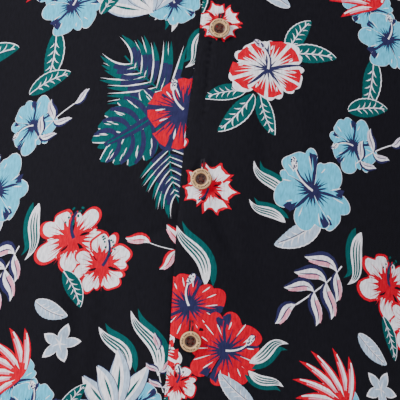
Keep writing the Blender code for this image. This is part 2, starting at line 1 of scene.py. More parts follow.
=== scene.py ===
# %% [markdown]
# # A Hawaiian shirt in printed cloth
# This notebook dresses a packed shirt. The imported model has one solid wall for
# each sewn piece: a back, two fronts, two lapels, a collar and two sleeves, and
# six buttons down the front. Here each wall is replaced by thin printed cloth
# with its creases, hems and stitches, and each button by a finely turned one.
#
# A garment could be posed with a cloth simulation. It is not needed here: the
# solids already hold the worn form, so every piece of cloth is cut flat from
# its pattern and wrapped onto that same form, which keeps it the right size.

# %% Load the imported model
from math import cos, hypot, pi, radians, sin

import bmesh
import bpy
import numpy as np
from mathutils import Matrix, Quaternion, Vector
from mathutils.geometry import delaunay_2d_cdt


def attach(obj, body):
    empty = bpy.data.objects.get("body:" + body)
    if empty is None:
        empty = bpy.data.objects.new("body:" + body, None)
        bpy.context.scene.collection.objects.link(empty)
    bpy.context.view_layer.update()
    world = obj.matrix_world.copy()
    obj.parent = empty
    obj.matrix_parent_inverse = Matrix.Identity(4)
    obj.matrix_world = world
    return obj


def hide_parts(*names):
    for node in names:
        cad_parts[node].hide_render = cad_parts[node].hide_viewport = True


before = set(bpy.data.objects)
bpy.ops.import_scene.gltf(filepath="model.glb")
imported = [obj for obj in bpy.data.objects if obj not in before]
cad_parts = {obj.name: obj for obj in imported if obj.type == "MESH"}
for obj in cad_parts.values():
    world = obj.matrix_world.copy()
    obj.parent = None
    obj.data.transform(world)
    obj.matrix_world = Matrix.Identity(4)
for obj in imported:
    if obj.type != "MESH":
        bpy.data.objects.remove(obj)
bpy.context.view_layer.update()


def put(name, data):
    """New object in the scene."""
    piece = bpy.data.objects.new(name, data)
    bpy.context.collection.objects.link(piece)
    return piece


print("packed pieces:", ", ".join(sorted(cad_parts)))

# %% [markdown]
# ## Sizes of the pattern
# A tailor works in two flat coordinates. Here s runs sideways from the centre
# front or centre back, positive to the wearer's left, and t runs down the
# cloth from the neck point. Both are in millimetres. The sizes are the ones
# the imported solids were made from, so that the cloth lands on them.

# %% Pattern sizes
MM = 0.001  # the sizes below are millimetres

WALL = 1.2  # cloth with its turned seams
LAYER = 2.0  # step from one layer of cloth to the next
SEAM = 0.35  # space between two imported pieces
SEWN = 0.08  # space between two pieces of cloth

HALF_WIDTH = 208.0  # half width of the body at the chest
HEM_DROP = 668.0  # level of the hem below the origin
ARMPIT = 265.0  # armpit, down from the neck point
SHOULDER_TIP = 243.0  # end of the shoulder seam, sideways
SHOULDER_SLOPE = 0.272
NECK_HALF = 76.0  # half width of the neck
SQUARE_END = 294.0  # the shoulders stay deep up to about here
BACK_NECK_DROP = 22.0
BACK_NECK_SHIFT = 30.0  # the back neck lies this far behind the seam
NECK_ROUND = 25.0  # how gently the shoulder line meets the neck

OVERLAP = 12.5  # front edges, past the centre line
LAP_FLAT, LAP_FADE = 6.0, 28.0  # past the overlap the left front lies down
BREAK = 150.0  # foot of the lapel's roll line
ROLL_TOP = 72.0  # where the roll line aims, at neck level
GORGE = 126.0  # start of the collar seam, up the roll line
ROLL_RADIUS = 1.7
LAPEL_SETTLE, LAPEL_SPAN = 0.5, 30.0  # the lapel lies down by this, by there

BUTTON_TOP = 174.0  # first button, down from the neck point
BUTTON_STEP = 95.4  # 3 3/4 in
BUTTON_COUNT = 6
BUTTON_TIP = (10, 0, 0, 2, 3, 1)  # deg, out at the top on their threads
BUTTON_CLEAR = 0.4  # from the cloth to the button
BUTTON_FOOT = 5.4  # radius of its flat underside

BOW = -2.7  # the front line bows sideways between the
BOW_MIDDLE = 269.0  # first and third buttons, most at this t
BOW_HALF = 96.0
BOW_WIDTH = 60.0  # and dies out this far from the front line

FLARE = 0.035  # the body widens by this share to the hem
FLARE_FROM, FLARE_TO = 250.0, 700.0
SETTLE = 250.0  # the shoulders' square plan is round by here

# Armhole curve: where its lower and upper handles lie, in mm
ARMHOLE_SCOOP = (66.0, 3.0)  # in from the armpit, and below it
ARMHOLE_HANDLE = (22.0, 128.0)  # in from the shoulder tip, and down

CUFF_CENTRE = (332.0, 0.0, -274.0)
CUFF_LEAN = radians(38.0)  # cuff plane, from level
CUFF_WIDE = 64.0
CUFF_DEEP = 63.0
SLEEVE_ROUND, SLEEVE_LONG = 400.0, 190.0
SLEEVE_CROWN = 1.1  # how far the sleeve head carries on outwards
SLEEVE_PULL = 0.9  # how full the curve down the sleeve is
SLEEVE_CLEAR, SLEEVE_TURN = 0.3, 0.9  # space at the armhole, and where it turns

FRONT, BACK = "front", "back"
print("half chest", HALF_WIDTH, "mm, hem", HEM_DROP, "mm down")

# %% [markdown]
# ## Lean and folds
# The cloth of a worn shirt lies back on the chest and hangs plumb below it. A
# short table gives how far it leans at each place down the centre line. Loose
# cloth also falls into soft folds, and each one is a ridge or a trough along
# a line of the pattern that dies out at its ends.

# %% Lean and large folds
LEAN = {
    FRONT: [(0, 66), (60, 57), (120, 43), (174, 27), (222, 21),
            (269, 11), (310, 1), (400, -1), (800, -1)],
    BACK: [(0, 74), (60, 52), (120, 30), (200, 10), (260, 0),
           (330, -3), (420, -1), (800, 0)],
}

# s, t of the middle (mm), angle from level (deg), length, width, depth
FOLDS = {
    FRONT: [
        (62, 338, -6, 95, 40, -3.2), (-54, 366, 88, 120, 32, -4.0), (-84, 372, 84, 110, 30, 2.6),
        (26, 306, 62, 60, 22, -1.8), (-26, 292, 140, 50, 24, -1.6), (176, 262, -34, 130, 38, -7.0),
        (196, 214, -52, 110, 30, 5.0), (212, 322, -48, 120, 40, 6.0),
        (-180, 258, 214, 120, 40, -6.5), (-200, 206, 234, 120, 30, 5.5),
        (-214, 330, 226, 130, 44, 5.5), (120, 92, 62, 90, 34, -3.0), (-126, 96, 118, 90, 34, -3.0),
        (150, 430, -20, 130, 46, -4.5), (-156, 446, 200, 120, 46, -4.0),
        (70, 520, 84, 300, 58, -5.0), (138, 560, 88, 320, 56, 6.5), (205, 590, 92, 280, 60, -8.0),
        (262, 560, 90, 340, 54, 7.0), (-78, 560, 94, 280, 56, -5.5), (-144, 540, 92, 320, 60, 6.5),
        (-212, 600, 88, 260, 56, -7.5), (-268, 556, 90, 340, 54, 6.5),
    ],
    BACK: [
        (0, 160, 90, 190, 60, -4.0), (128, 130, 40, 130, 40, -4.0),
        (-132, 138, 140, 130, 40, -4.0), (176, 250, 32, 150, 40, -7.0),
        (190, 206, 50, 120, 32, 5.0), (-172, 246, 148, 150, 42, -6.5),
        (-192, 210, 130, 120, 32, 5.5), (96, 330, 14, 150, 46, -4.0),
        (-90, 352, 168, 150, 44, -4.5), (20, 470, 92, 330, 62, 6.0), (76, 540, 90, 300, 56, -7.0),
        (140, 520, 88, 360, 60, 7.5), (206, 580, 90, 280, 56, -8.0), (-44, 560, 88, 280, 54, -6.5),
        (-104, 520, 92, 360, 58, 7.0), (-166, 570, 90, 300, 56, -8.0),
        (-222, 520, 90, 340, 54, 6.5),
    ],
}


# Sleeve folds: turn round the sleeve from its top (deg, forwards first),
# place down it (0..1), angle along it (deg), then sizes (mm)

SLEEVE_FOLDS = [
    (145, 0.26, 66, 120, 32, -6.0),
    (100, 0.50, 76, 130, 36, 4.5),
    (190, 0.62, 92, 130, 36, 5.0),
    (245, 0.34, 108, 130, 32, -5.5),
    (54, 0.70, 84, 120, 44, -4.0),
    (310, 0.66, 98, 130, 44, 4.0),
]

print(sum(map(len, FOLDS.values())), "folds on the body,", len(SLEEVE_FOLDS), "on each sleeve")

# %% [markdown]
# ## Wrapping cloth on the body
# Each front and the back follow one smooth surface. A point of the pattern is
# carried sideways round an oval plan and down along the leaning centre line,
# and then pushed out along the surface by the folds. These are plain NumPy
# functions, because no modelling operator can wrap a flat pattern like this.

# %% Curves
def smoothstep(x):
    x = np.clip(x, 0.0, 1.0)
    return x * x * (3 - 2 * x)


def lengths(v, **keep):
    """Lengths of vectors that run along the last axis."""
    return np.linalg.norm(v, axis=-1, **keep)


def unit(v, tiny=0.0):
    """The same vectors at length one. A tiny amount keeps off a nought."""
    return v / (lengths(v, keepdims=True) + tiny)


def cos_sin(degrees):
    return cos(radians(degrees)), sin(radians(degrees))


def bezier(p0, p1, p2, p3, u):
    """Points of a cubic curve at the parameters u."""
    u = np.asarray(u, float)[:, None]
    p0, p1, p2, p3 = (np.asarray(p, float) for p in (p0, p1, p2, p3))
    return ((1 - u) ** 3 * p0 + 3 * (1 - u) ** 2 * u * p1
            + 3 * (1 - u) * u ** 2 * p2 + u ** 3 * p3)


def lean_curves(table, step=0.5, blur=81):
    """Distance down the cloth, and how far it has come forward and down."""
    down = np.arange(0, 801, step)
    lean = np.interp(down, *zip(*table))
    lean = np.pad(lean, blur // 2, mode="edge")
    lean = np.radians(np.convolve(lean, np.ones(blur) / blur, mode="valid"))
    out = np.cumsum(np.sin(lean)) * step
    fall = np.cumsum(np.cos(lean)) * step
    return down, out - out[0], fall - fall[0]


def arc_table(wide, deep, steps=4000):
    """Arc length along a quarter ellipse, and the turn that it belongs to."""
    turn = np.linspace(0, pi / 2, steps)
    x, y = wide * np.sin(turn), deep * np.cos(turn)
    return np.append(0, np.cumsum(np.hypot(np.diff(x), np.diff(y)))), turn


CURVES = {side: lean_curves(LEAN[side]) for side in (FRONT, BACK)}
DEPTH = {side: CURVES[side][1].max() for side in (FRONT, BACK)}
ARCS = {side: arc_table(HALF_WIDTH, DEPTH[side]) for side in (FRONT, BACK)}
SIDE_SEAM = {side: ARCS[side][0][-1] for side in (FRONT, BACK)}
OUTWARD = {FRONT: -1.0, BACK: 1.0}

print("side seams at", {side: round(v, 1) for side, v in SIDE_SEAM.items()}, "mm")


# %% Torso
def shoulder(s):
    """How far down the shoulder line is at s, rounded off at the neck."""
    reach = np.abs(s) - NECK_HALF
    return SHOULDER_SLOPE * (np.sqrt(reach ** 2 + NECK_ROUND ** 2) + reach) / 2


def ring(side, s, down):
    """Sideways place and depth of the torso where the cloth has come down."""
    turn = np.interp(np.abs(s), *ARCS[side])
    settle = smoothstep(down / SETTLE)
    square = 1 - (np.abs(s) / SQUARE_END) ** 16
    x = np.abs(s) + (HALF_WIDTH * np.sin(turn) - np.abs(s)) * settle
    depth = DEPTH[side] * (square + (np.cos(turn) - square) * settle)
    return x, depth


def torso(side, s, t):
    """Point of the plain torso for the pattern point (s, t)."""
    s, t = np.asarray(s, float), np.asarray(t, float)
    down = t - shoulder(s)
    x, depth = ring(side, s, down)
    along, out, fall = CURVES[side]
    share = np.interp(down, along, out) / DEPTH[side]
    steep = 1 - (depth / DEPTH[side]) ** 2
    drop = np.interp(down, along, fall)
    drop = drop + (down - drop) * steep
    flare = 1 + FLARE * smoothstep((down - FLARE_FROM) / (FLARE_TO - FLARE_FROM))
    neck = 0.0
    if side == BACK:
        inner = np.clip(1 - (s / NECK_HALF) ** 2, 0, 1)
        neck = BACK_NECK_SHIFT * inner ** 1.6
    near = np.clip((t - BOW_MIDDLE) / BOW_HALF, -1, 1)
    bow = BOW * np.cos(near * pi / 2) * np.exp(-(s / BOW_WIDTH) ** 2)
    x = np.sign(s) * x * flare
    if side == FRONT:
        x = x + bow
    y = OUTWARD[side] * depth * share * flare + neck * (1 - share)
    return np.stack([x, y, -shoulder(s) - drop], axis=-1)


def normal(side, s, t, step=0.5):
    """Outward unit normal of the plain torso."""
    across = torso(side, s + step, t) - torso(side, s - step, t)
    down = torso(side, s, t + step) - torso(side, s, t - step)
    return unit(np.cross(across, down) * OUTWARD[side])


def fold_height(u, v, length, width, depth):
    """A ridge of this depth along v, u across it, dying out at its ends."""
    rise = np.exp(-(2 * u / width) ** 2)
    return depth * rise * np.exp(-(2 * v / length) ** 4)


def relief(table, s, t, deeper=1.0):
    """How far a table's folds push the cloth out at (s, t)."""
    height = np.zeros(np.broadcast(s, t).shape)
    for fs, ft, angle, length, width, depth in table:
        c, k = cos_sin(angle)
        height += fold_height(-(s - fs) * k + (t - ft) * c, (s - fs) * c + (t - ft) * k,
                              length, width, deeper * depth)
    return height


def wrap(side, s, t, lift=0.0):
    """World point, in mm, of the cloth at (s, t), lifted off by lift."""
    s, t = np.asarray(s, float), np.asarray(t, float)
    away = relief(FOLDS[side], s, t) + lift
    return torso(side, s, t) + normal(side, s, t) * np.asarray(away)[..., None]


def over_lift(s):
    """The wearer's left front lies over the right one near the centre."""
    return LAYER * (1 - smoothstep((s - OVERLAP - LAP_FLAT) / LAP_FADE))


def hem(side, s):
    """Pattern line of a hem that hangs level."""
    down = FLARE_TO
    depth = ring(side, s, np.asarray(down))[1]
    along, _, fall = CURVES[side]
    saved = down - np.interp(down, along, fall)
    return HEM_DROP + saved * (depth / DEPTH[side]) ** 2

print("the chest is", np.ptp(wrap(FRONT, [0, 120.0], [300, 300.0])[:, 0]).round(),
      "mm across between two points 120 mm apart on the pattern")

# %% [markdown]
# ## The printed inks
# Cloth like this is screen printed: one flat ink after another, with no blends.
# So the pattern needs no picture. Every shape is an area with a crisp edge that
# is filled with one ink from a short list. Colours are sRGB and are turned into
# the linear values that shaders use.

# %% Inks
INK = {"ground": (21, 20, 26), "white": (244, 240, 246), "red": (206, 0, 38),
       "navy": (42, 42, 80), "teal": (0, 84, 84), "sky": (92, 196, 228),
       "mist": (176, 196, 218), "pink": (238, 158, 178), "lilac": (220, 208, 224)}
INKS = list(INK)


def linear(colour):
    """Linear light from an sRGB colour of 0 to 255."""
    c = np.asarray(colour, float) / 255
    return np.where(c < 0.04045, c / 12.92, ((c + 0.055) / 1.055) ** 2.4)


INK_LIGHT = np.array([linear(INK[name]) for name in INKS])
print("inks:", ", ".join(INKS))

# %% [markdown]
# ## Brush strokes
# Nearly every shape in the print is one stroke of a brush: a path with a
# width that swells and tapers. A stroke keeps its ink and how fine it is: 0 is
# a whole shape, which also shows on the inner side of the cloth, 1 and 2 are
# its drawing, and 3 is drawn only where the cloth is seen close up.

# %% Strokes
def bend(start, handle, end, n=9):
    """Points of a curve from start to end that leans towards its handle."""
    u = np.linspace(0, 1, n)[:, None]
    start, handle, end = (np.asarray(p, float) for p in (start, handle, end))
    return (1 - u) ** 2 * start + 2 * u * (1 - u) * handle + u ** 2 * end


def beside(path):
    """Unit vectors to the side of a path."""
    ahead = unit(np.gradient(path, axis=0), 1e-9)
    return np.stack([-ahead[:, 1], ahead[:, 0]], axis=1)


def stroke(path, half):
    """Outline of a brush stroke from its path and its half widths."""
    side = beside(path)
    half = np.broadcast_to(half, len(path))[:, None]
    return np.concatenate([path + side * half, (path - side * half)[::-1]])


def swell(n, place=1.0, power=1.0):
    """Half widths that grow from nothing and taper off again."""
    return np.sin(pi * np.linspace(0.004, 0.996, n) ** place) ** power


def polar(radius, turn):
    """Points from radii and turns, in radians."""
    return np.stack([radius * np.cos(turn), radius * np.sin(turn)], axis=-1)


def rib(length, curve, n, knee=0.5):
    """A curve along x, bent up or down by a share of its length."""
    return bend((0, 0), (length * knee, -curve * length), (length, 0), n)


def shift(path, side):
    """The same path, moved sideways."""
    return path + beside(path) * side

# %% [markdown]
# ## Flowers
# A hibiscus has five broad petals round a burst of dark strokes, and one long
# stamen with a speckled head. A petal is drawn in polar form: an arc with a
# ruffled radius, closed at the centre. Jagged fans of strokes fill it from its
# rim inwards or from its heart outwards, as a brush would.

# %% Petals
def petal(turn, reach, spread, rng, lobes, notch, waist):
    """Scalloped fan of one petal about the flower's centre."""
    phi = np.linspace(-1, 1, 25)
    scallop = np.abs(np.sin(phi * lobes * 0.8 + rng.uniform(0, 3)))
    wave = np.sin(phi * 4 + rng.uniform(0, 6))
    radius = reach * (1 - 0.12 * phi ** 2 - 0.16 * phi ** 8 + 0.07 * wave
                      - notch * (1 - scallop) ** 2 + rng.uniform(-0.1, 0.1) * phi)
    rim = polar(radius, turn + spread / 2 * phi)
    sides = [polar(np.array([0.62, 0.34, 0.1]) * reach, turn + k * spread / 2
                   * np.array([0.98 - waist * 0.5, 0.9 - waist, 0.8 - waist])) for k in (1, -1)]
    return np.concatenate([rim, sides[0], sides[1][::-1]])


def comb(turn, reach, spread, rng, start, end, near, far, teeth=3):
    """Patch that lies along a petal's rim, with a jagged inner edge."""
    rim = np.linspace(start, end, 4)
    tooth = np.linspace(end, start, 2 * teeth + 1)
    depth = np.where(np.arange(len(tooth)) % 2, near, far - 0.16)
    depth = depth + rng.uniform(-0.09, 0.09, len(tooth))
    radius = np.concatenate([far + rng.uniform(-0.03, 0.03, 4), depth])
    across = np.concatenate([rim, tooth * 0.94])
    return polar(reach * radius * (1 - 0.13 * across ** 2), turn + spread / 2 * across)


def burst(turn, reach, spread, rng, near, far, teeth=3):
    """Jagged patch that spreads from the heart into a petal."""
    across = np.linspace(-0.95, 0.95, 2 * teeth + 1)
    across[1::2] += rng.uniform(-0.1, 0.1, teeth)
    radius = np.where(np.arange(len(across)) % 2, far, near)
    radius = radius * rng.uniform(0.78, 1.08, len(across))
    fan_ = polar(reach * radius, turn + spread / 2 * across)
    return np.concatenate([[polar(-0.02 * reach, turn)], fan_])


def fan(turn, reach, spread, rng, count, near, far, width, ink):
    """Strokes across a petal, pointed at their inner ends."""
    shapes = []
    for phi in np.linspace(-0.82, 0.82, count):
        phi += rng.uniform(-0.06, 0.06)
        a = turn + spread / 2 * phi
        inner, outer = near + rng.uniform(-0.1, 0.1), far + rng.uniform(-0.05, 0.03)
        outer *= 1 - 0.12 * phi ** 2
        path = bend(polar(reach * inner, a + 0.05 * phi), polar(reach * 0.6, a),
                    polar(reach * outer, a - 0.03 * phi), 6)
        half = reach * width * np.array([0.05, 0.4, 0.75, 1.0, 0.95, 0.35])
        shapes.append((ink, 2, stroke(path, half)))
    return shapes


def rays(reach, rng, count, near, far, width, ink, level=1, turn=0.0, arc=2 * pi):
    """Strokes out of the flower's heart, pointed at their outer ends."""
    shapes = []
    for k in range(count):
        a = turn + arc * (k + rng.uniform(-0.3, 0.3)) / count
        length = rng.uniform(near, far) * reach
        path = bend((0, 0), polar(length * 0.5, a + rng.uniform(-0.2, 0.2)), polar(length, a), 6)
        half = reach * width * np.array([1.0, 1.0, 0.8, 0.55, 0.3, 0.04])
        shapes.append((ink, level, stroke(path, half)))
    return shapes


def dot(x, y, r, n=8):
    """A small round spot."""
    return polar(r, 2 * pi * np.arange(n) / n) + (x, y)


# %% Stamens
OVAL = 2 * pi * np.arange(12) / 12
STEM = 0.75  # its length, to that of a petal


def stamen(reach, turn, curve, rng, stem, head, speck):
    """The stamen: a bent stem and a speckled head."""
    end = polar(reach * STEM, turn)
    path = bend((0, 0), polar(reach * STEM * 0.6, turn + curve), end, 9)
    taper = reach * np.linspace(0.034, 0.018, 9)
    shapes = [("navy", 1, stroke(shift(path, 0.035 * reach), taper)),
              (stem, 1, stroke(path, taper * 0.8))]
    ahead = (path[-1] - path[-2]) / np.linalg.norm(path[-1] - path[-2])
    side = np.array([-ahead[1], ahead[0]])
    if head:
        centre = end - ahead * reach * 0.02
        oval = (centre + np.outer(np.cos(OVAL), ahead) * reach * 0.17
                + np.outer(np.sin(OVAL), side) * reach * 0.085
                * (1 + 0.12 * rng.uniform(-1, 1, len(OVAL)))[:, None])
        shapes.append((head, 1, oval))
    for k in range(14):
        along = rng.uniform(-0.16, 0.16)
        out = rng.uniform(-0.08, 0.08) * (1 - abs(along) * 3)
        if not head:
            along, out = rng.uniform(-0.4, 0.16), rng.choice([-1, 1]) * 0.09
            out *= rng.uniform(0.8, 1.5)
        x, y = end + ahead * along * reach + side * out * reach
        size = reach * (0.022 if head else 0.034)
        shapes.append((speck, 3 if head else 2, dot(x, y, size, 6)))
    return shapes


# %% Hibiscus
def hibiscus(reach, turn, seed, look, squash=1.0, stem_turn=-90):
    """A hibiscus. Its look names its inks and how its petals are drawn."""
    rng = np.random.default_rng(seed)
    (petals, rim, body, mark, heart, edge, lobes, notch, waist, core, stem, head,
     speck) = LOOKS[look]
    shapes = []
    for k in (0, 2, 4, 1, 3):
        a = radians(turn) + 2 * pi * k / 5 + rng.uniform(-0.12, 0.12)
        size = reach * rng.uniform(0.86, 1.08)
        spread = radians(rng.uniform(74, 88))
        outline = petal(a, size, spread, rng, lobes, notch, waist)
        middle = polar(size * 0.56, a)
        shapes.append((rim, 0, outline))
        if edge:
            shapes.append((body, 0, middle + (outline - middle) * (1 - edge)))
        shapes += petals(a, size, spread, rng, mark)
        if heart == "navy":
            gap = bend((0, 0), polar(size * 0.5, a + spread * 0.42),
                       polar(size * 0.88, a + spread * 0.5), 6)
            shapes.append(("navy", 1, stroke(gap, size * 0.045 * swell(6, 0.7))))
    for k in range(5):
        a = radians(turn) + 2 * pi * k / 5
        shapes.append((heart, 1, burst(a, reach, 1.3, rng, 0.13, core)))
    shapes += stamen(reach, radians(stem_turn), 0.5 * rng.choice([-1, 1]), rng, stem, head, speck)
    return [(ink, level, points * (1, squash)) for ink, level, points in shapes]


def petals_white(a, size, spread, rng, mark):
    """Jagged patches from the rim inwards."""
    middle = rng.uniform(-0.2, 0.2)
    return [(mark, 1, comb(a, size, spread, rng, -0.82, middle - 0.1, 0.38, 0.92)),
            (mark, 1, comb(a, size, spread, rng, middle + 0.08, 0.78, 0.38, 0.92)),
            *fan(a, size, spread * 0.8, rng, 3, 0.5, 0.8, 0.022, "white")]


def petals_red(a, size, spread, rng, mark, edge=(0.62, 0.98, 0.6, 0.97),
               heart=(0.62, 0.26, 0.6), light=(3, 0.5, 0.84)):
    """Dark jagged patches from the heart and along one edge, and pale strokes."""
    side = rng.choice([-1, 1])
    shade = comb(a, size, spread, rng, side * edge[0], side * edge[1], *edge[2:], 2)
    return [(mark, 2, shade), (mark, 1, burst(a, size, spread * heart[0], rng, *heart[1:])),
            *fan(a, size, spread * 0.7, rng, *light, 0.016, "white")]


def petals_dusky(a, size, spread, rng, mark):
    """Flame-like patches over a dark petal, with a few light strokes."""
    middle = rng.uniform(-0.15, 0.15)
    return [(mark, 1, comb(a, size, spread, rng, -0.92, middle - 0.1, 0.34, 0.97)),
            (mark, 1, comb(a, size, spread, rng, middle + 0.14, 0.86, 0.4, 0.97)),
            ("navy", 1, burst(a, size, spread * 0.9, rng, 0.36, 0.86, 4)),
            *fan(a, size, spread * 0.9, rng, 4, 0.3, 0.66, 0.026, mark),
            *fan(a - spread * 0.2, size, spread * 0.4, rng, 2, 0.45, 0.8, 0.022, "white")]


def petals_sky(a, size, spread, rng, mark):
    """The same with smaller patches and fewer strokes."""
    return petals_red(a, size, spread, rng, mark, (0.6, 0.96, 0.62, 0.95),
                      (0.6, 0.22, 0.52), (2, 0.55, 0.86))


def petals_bordered(a, size, spread, rng, mark):
    """Fine lines from a broad heart, with a dark slot beside it."""
    lines = rays(size, rng, 7, 0.6, 0.86, 0.021, mark, 2, a - spread * 0.4, spread * 0.9)
    slot = bend(polar(size * 0.2, a + spread * 0.46), polar(size * 0.34, a + spread * 0.47),
                polar(size * 0.5, a + spread * 0.52), 5)
    return [(mark, 1, burst(a, size, spread * 0.95, rng, 0.36, 0.62, 4)), *lines,
            ("ground", 1, stroke(slot, size * 0.045 * swell(5, 0.8)))]


# petals, rim, body, drawing, heart, rim's width, lobes, notches (below 0: points),
# waist, reach of the heart, stem, head, specks
LOOKS = {
    "white": (petals_white, "white", "white", "red", "navy", 0.0, 4, 0.12, 0.0, 0.4,
              "white", "lilac", "navy"),
    "red": (petals_red, "red", "red", "navy", "navy", 0.0, 3, 0.16, 0.05, 0.46,
            "white", "white", "navy"),
    "dusky": (petals_dusky, "navy", "navy", "red", "navy", 0.0, 3, 0.2, 0.05, 0.4,
              "white", "white", "navy"),
    "sky": (petals_sky, "white", "sky", "navy", "navy", 0.03, 3, 0.16, 0.0, 0.44,
            "white", "white", "navy"),
    "bordered": (petals_bordered, "red", "white", "red", "red", 0.18, 3, 0.26, 0.12,
                 0.48, "navy", None, "teal"),
    "starry": (petals_bordered, "red", "white", "red", "red", 0.22, 5, -0.3, 0.3,
               0.55, "navy", None, "red"),
}


# %% Lily and small flowers
def lily(size, turn, seed):
    """A spray of long pointed petals with a centre line in each."""
    rng = np.random.default_rng(seed)
    shapes = []
    for k, a in enumerate((-58, 48, -28, 20, -4)):
        a = radians(turn + a + rng.uniform(-5, 5))
        length = size * rng.uniform(0.85, 1.1)
        lean = rng.uniform(-0.3, 0.3)
        path = bend((0, 0), polar(length * 0.6, a + lean), polar(length, a), 11)
        half = 0.17 * length * swell(11, 0.9, 1.0)
        shapes += [("navy", 1, stroke(path, half + 0.012 * size)), ("mist", 0, stroke(path, half)),
                   ("white", 1, stroke(shift(path, -0.03 * size), half * 0.6)),
                   ("teal", 1, stroke(path[2:8], 0.022 * length * swell(6, 1.0)))]
    return shapes


def small_flower(size, turn, seed, rim="white", body="mist"):
    """Five round lobes."""
    rng = np.random.default_rng(seed)
    t = np.linspace(0, 2 * pi, 41)[:-1]
    r = size * (0.72 + 0.26 * np.cos(5 * t + radians(turn))
                + 0.05 * np.cos(15 * t + rng.uniform(0, 6)))
    ring_ = polar(r, t)
    return ([(rim, 0, ring_), (body, 0, ring_ * 0.86)]
            + rays(size, rng, 5, 0.3, 0.55, 0.04, rim, 1))

# %% [markdown]
# ## Leaves
# Leaves are strokes too: a broad one for the blade, a thin one for the midrib
# and thinner ones for the veins. Striped grass blades carry lines along their
# length, palm fronds carry narrow leaflets on both sides, and the split leaf
# is a row of rounded fingers.

# %% Leaves
def leaf(length, width, curve, ink="teal", line="white", veins=5, teeth=0.045):
    """A toothed leaf with a midrib and side veins. It points along x."""
    n = 23
    path = rib(length, curve, n, 0.55)
    saw = 1 + teeth * ((np.arange(n) * 0.5) % 1 - 0.3) * 2
    half = width / 2 * swell(n, 0.8, 0.75) * saw
    shapes = [(line, 1, stroke(path - (0, 0.02 * length), half)), (ink, 0, stroke(path, half))]
    for k in range(veins):
        at = 4 + int(k * 13 / max(veins - 1, 1))
        root = path[at]
        for side in (1, -1):
            tip = root + (0.13 * length, side * half[at] * 0.72)
            vein = bend(root, root + (0.1 * length, side * half[at] * 0.2), tip, 5)
            shapes.append((line, 3 if side > 0 else 2,
                           stroke(vein, 0.012 * length * swell(5, 0.7))))
    shapes.append(("navy", 2, stroke(path[1:-2] + (0, 0.014 * length), 0.012 * length)))
    shapes.append((line, 1, stroke(path[:-2], 0.011 * length)))
    return shapes


def blade(length, width, curve, stripes=3, back=0.55):
    """A striped grass blade with a plain dark back. It points along x."""
    n = 15
    path = rib(length, curve, n, 0.6)
    path[:, 1] += 0.06 * length * np.sin(2 * pi * np.linspace(0, 1, n))
    half = width / 2 * swell(n, 0.7, 0.9)
    rear = shift(path, width * back)
    shapes = [("teal", 0, stroke(rear, half * 0.75)), ("white", 0, stroke(path, half))]
    for k in range(stripes):
        side = (k - (stripes - 1) / 2) / stripes * 1.5
        line = (path + np.stack([np.zeros(n), half * side], axis=1))[2:-2]
        shapes.append(("teal", 1, stroke(line, 0.07 * width * swell(n - 4, 1.0, 0.4))))
    return shapes


def frond(length, width, curve, seed, count=8):
    """A palm frond: narrow leaflets that sweep towards its tip."""
    rng = np.random.default_rng(seed)
    n = 25
    path = rib(length, curve, n)
    shapes = [("teal", 1, stroke(path, 0.012 * length))]
    for k in range(count):
        root = path[int(round(1 + k * (n - 4) / count))]
        size = width / 2 * (1.15 - 0.5 * k / count) * rng.uniform(0.92, 1.06)
        for side in (1, -1):
            sweep = radians(34 + 4.5 * k) + rng.uniform(-0.06, 0.06)
            tip = root + size * polar(1.3, side * (pi / 2 - sweep))
            knee = root + size * np.array([0.3, side * 0.5])
            line = bend(root, knee, tip, 8)
            half = 0.047 * width * swell(8, 0.85, 0.9)
            shapes += [("teal", 0, stroke(line, half)),
                       ("navy", 2, stroke(shift(line, side * 0.012 * width)[:5], half[:5] * 0.7)),
                       ("white", 1, stroke(shift(line, -side * 0.035 * width), half * 0.24))]
    return shapes


def split_leaf(length, width, curve, seed, fingers=5):
    """A split leaf: broad fingers on both sides of its midrib."""
    rng = np.random.default_rng(seed)
    n = 21
    path = rib(length, curve, n)
    heart = width * 0.2 * swell(n, 0.62, 0.6)
    shapes = [("teal", 0, stroke(path, heart))]
    for k in range(fingers):
        share = (k + 0.35) / fingers
        root = path[int(round(share * (n - 4)))]
        size = width / 2 * (0.78 + 0.5 * sin(pi * share ** 0.75) - 0.28 * share)
        for side in (1, -1):
            sweep = radians(8 + 56 * share) + rng.uniform(-0.05, 0.05)
            tip = root + size * polar(1.12, side * (pi / 2 - sweep))
            knee = root + size * np.array([-0.04, side * 0.66])
            line = bend(root, knee, tip, 10)
            fat = 0.13 * width * np.array([.4, .6, .8, .92, 1, 1, .96, .84, .6, .15])
            shapes += [("white", 1, stroke(shift(line, -side * 0.016 * width), fat * 1.06)),
                       ("teal", 0, stroke(line, fat)),
                       ("navy", 1, stroke(shift(line, side * 0.065 * width)[1:9],
                                          fat[1:9] * 0.34))]
            for j in range(3):
                at = line[4 + j] + rng.uniform(-0.03, 0.03, 2) * width
                ahead = (tip - root) / size * width
                dash = bend(at, at + ahead * 0.05, at + ahead * 0.12, 4)
                shapes.append(("white", 3, stroke(dash, 0.009 * width * swell(4, 0.8))))
    shapes += [("navy", 1, stroke(path[:-2], heart[:-2] * 0.42)),
               ("teal", 1, stroke(path[:-3], 0.014 * width))]
    return shapes


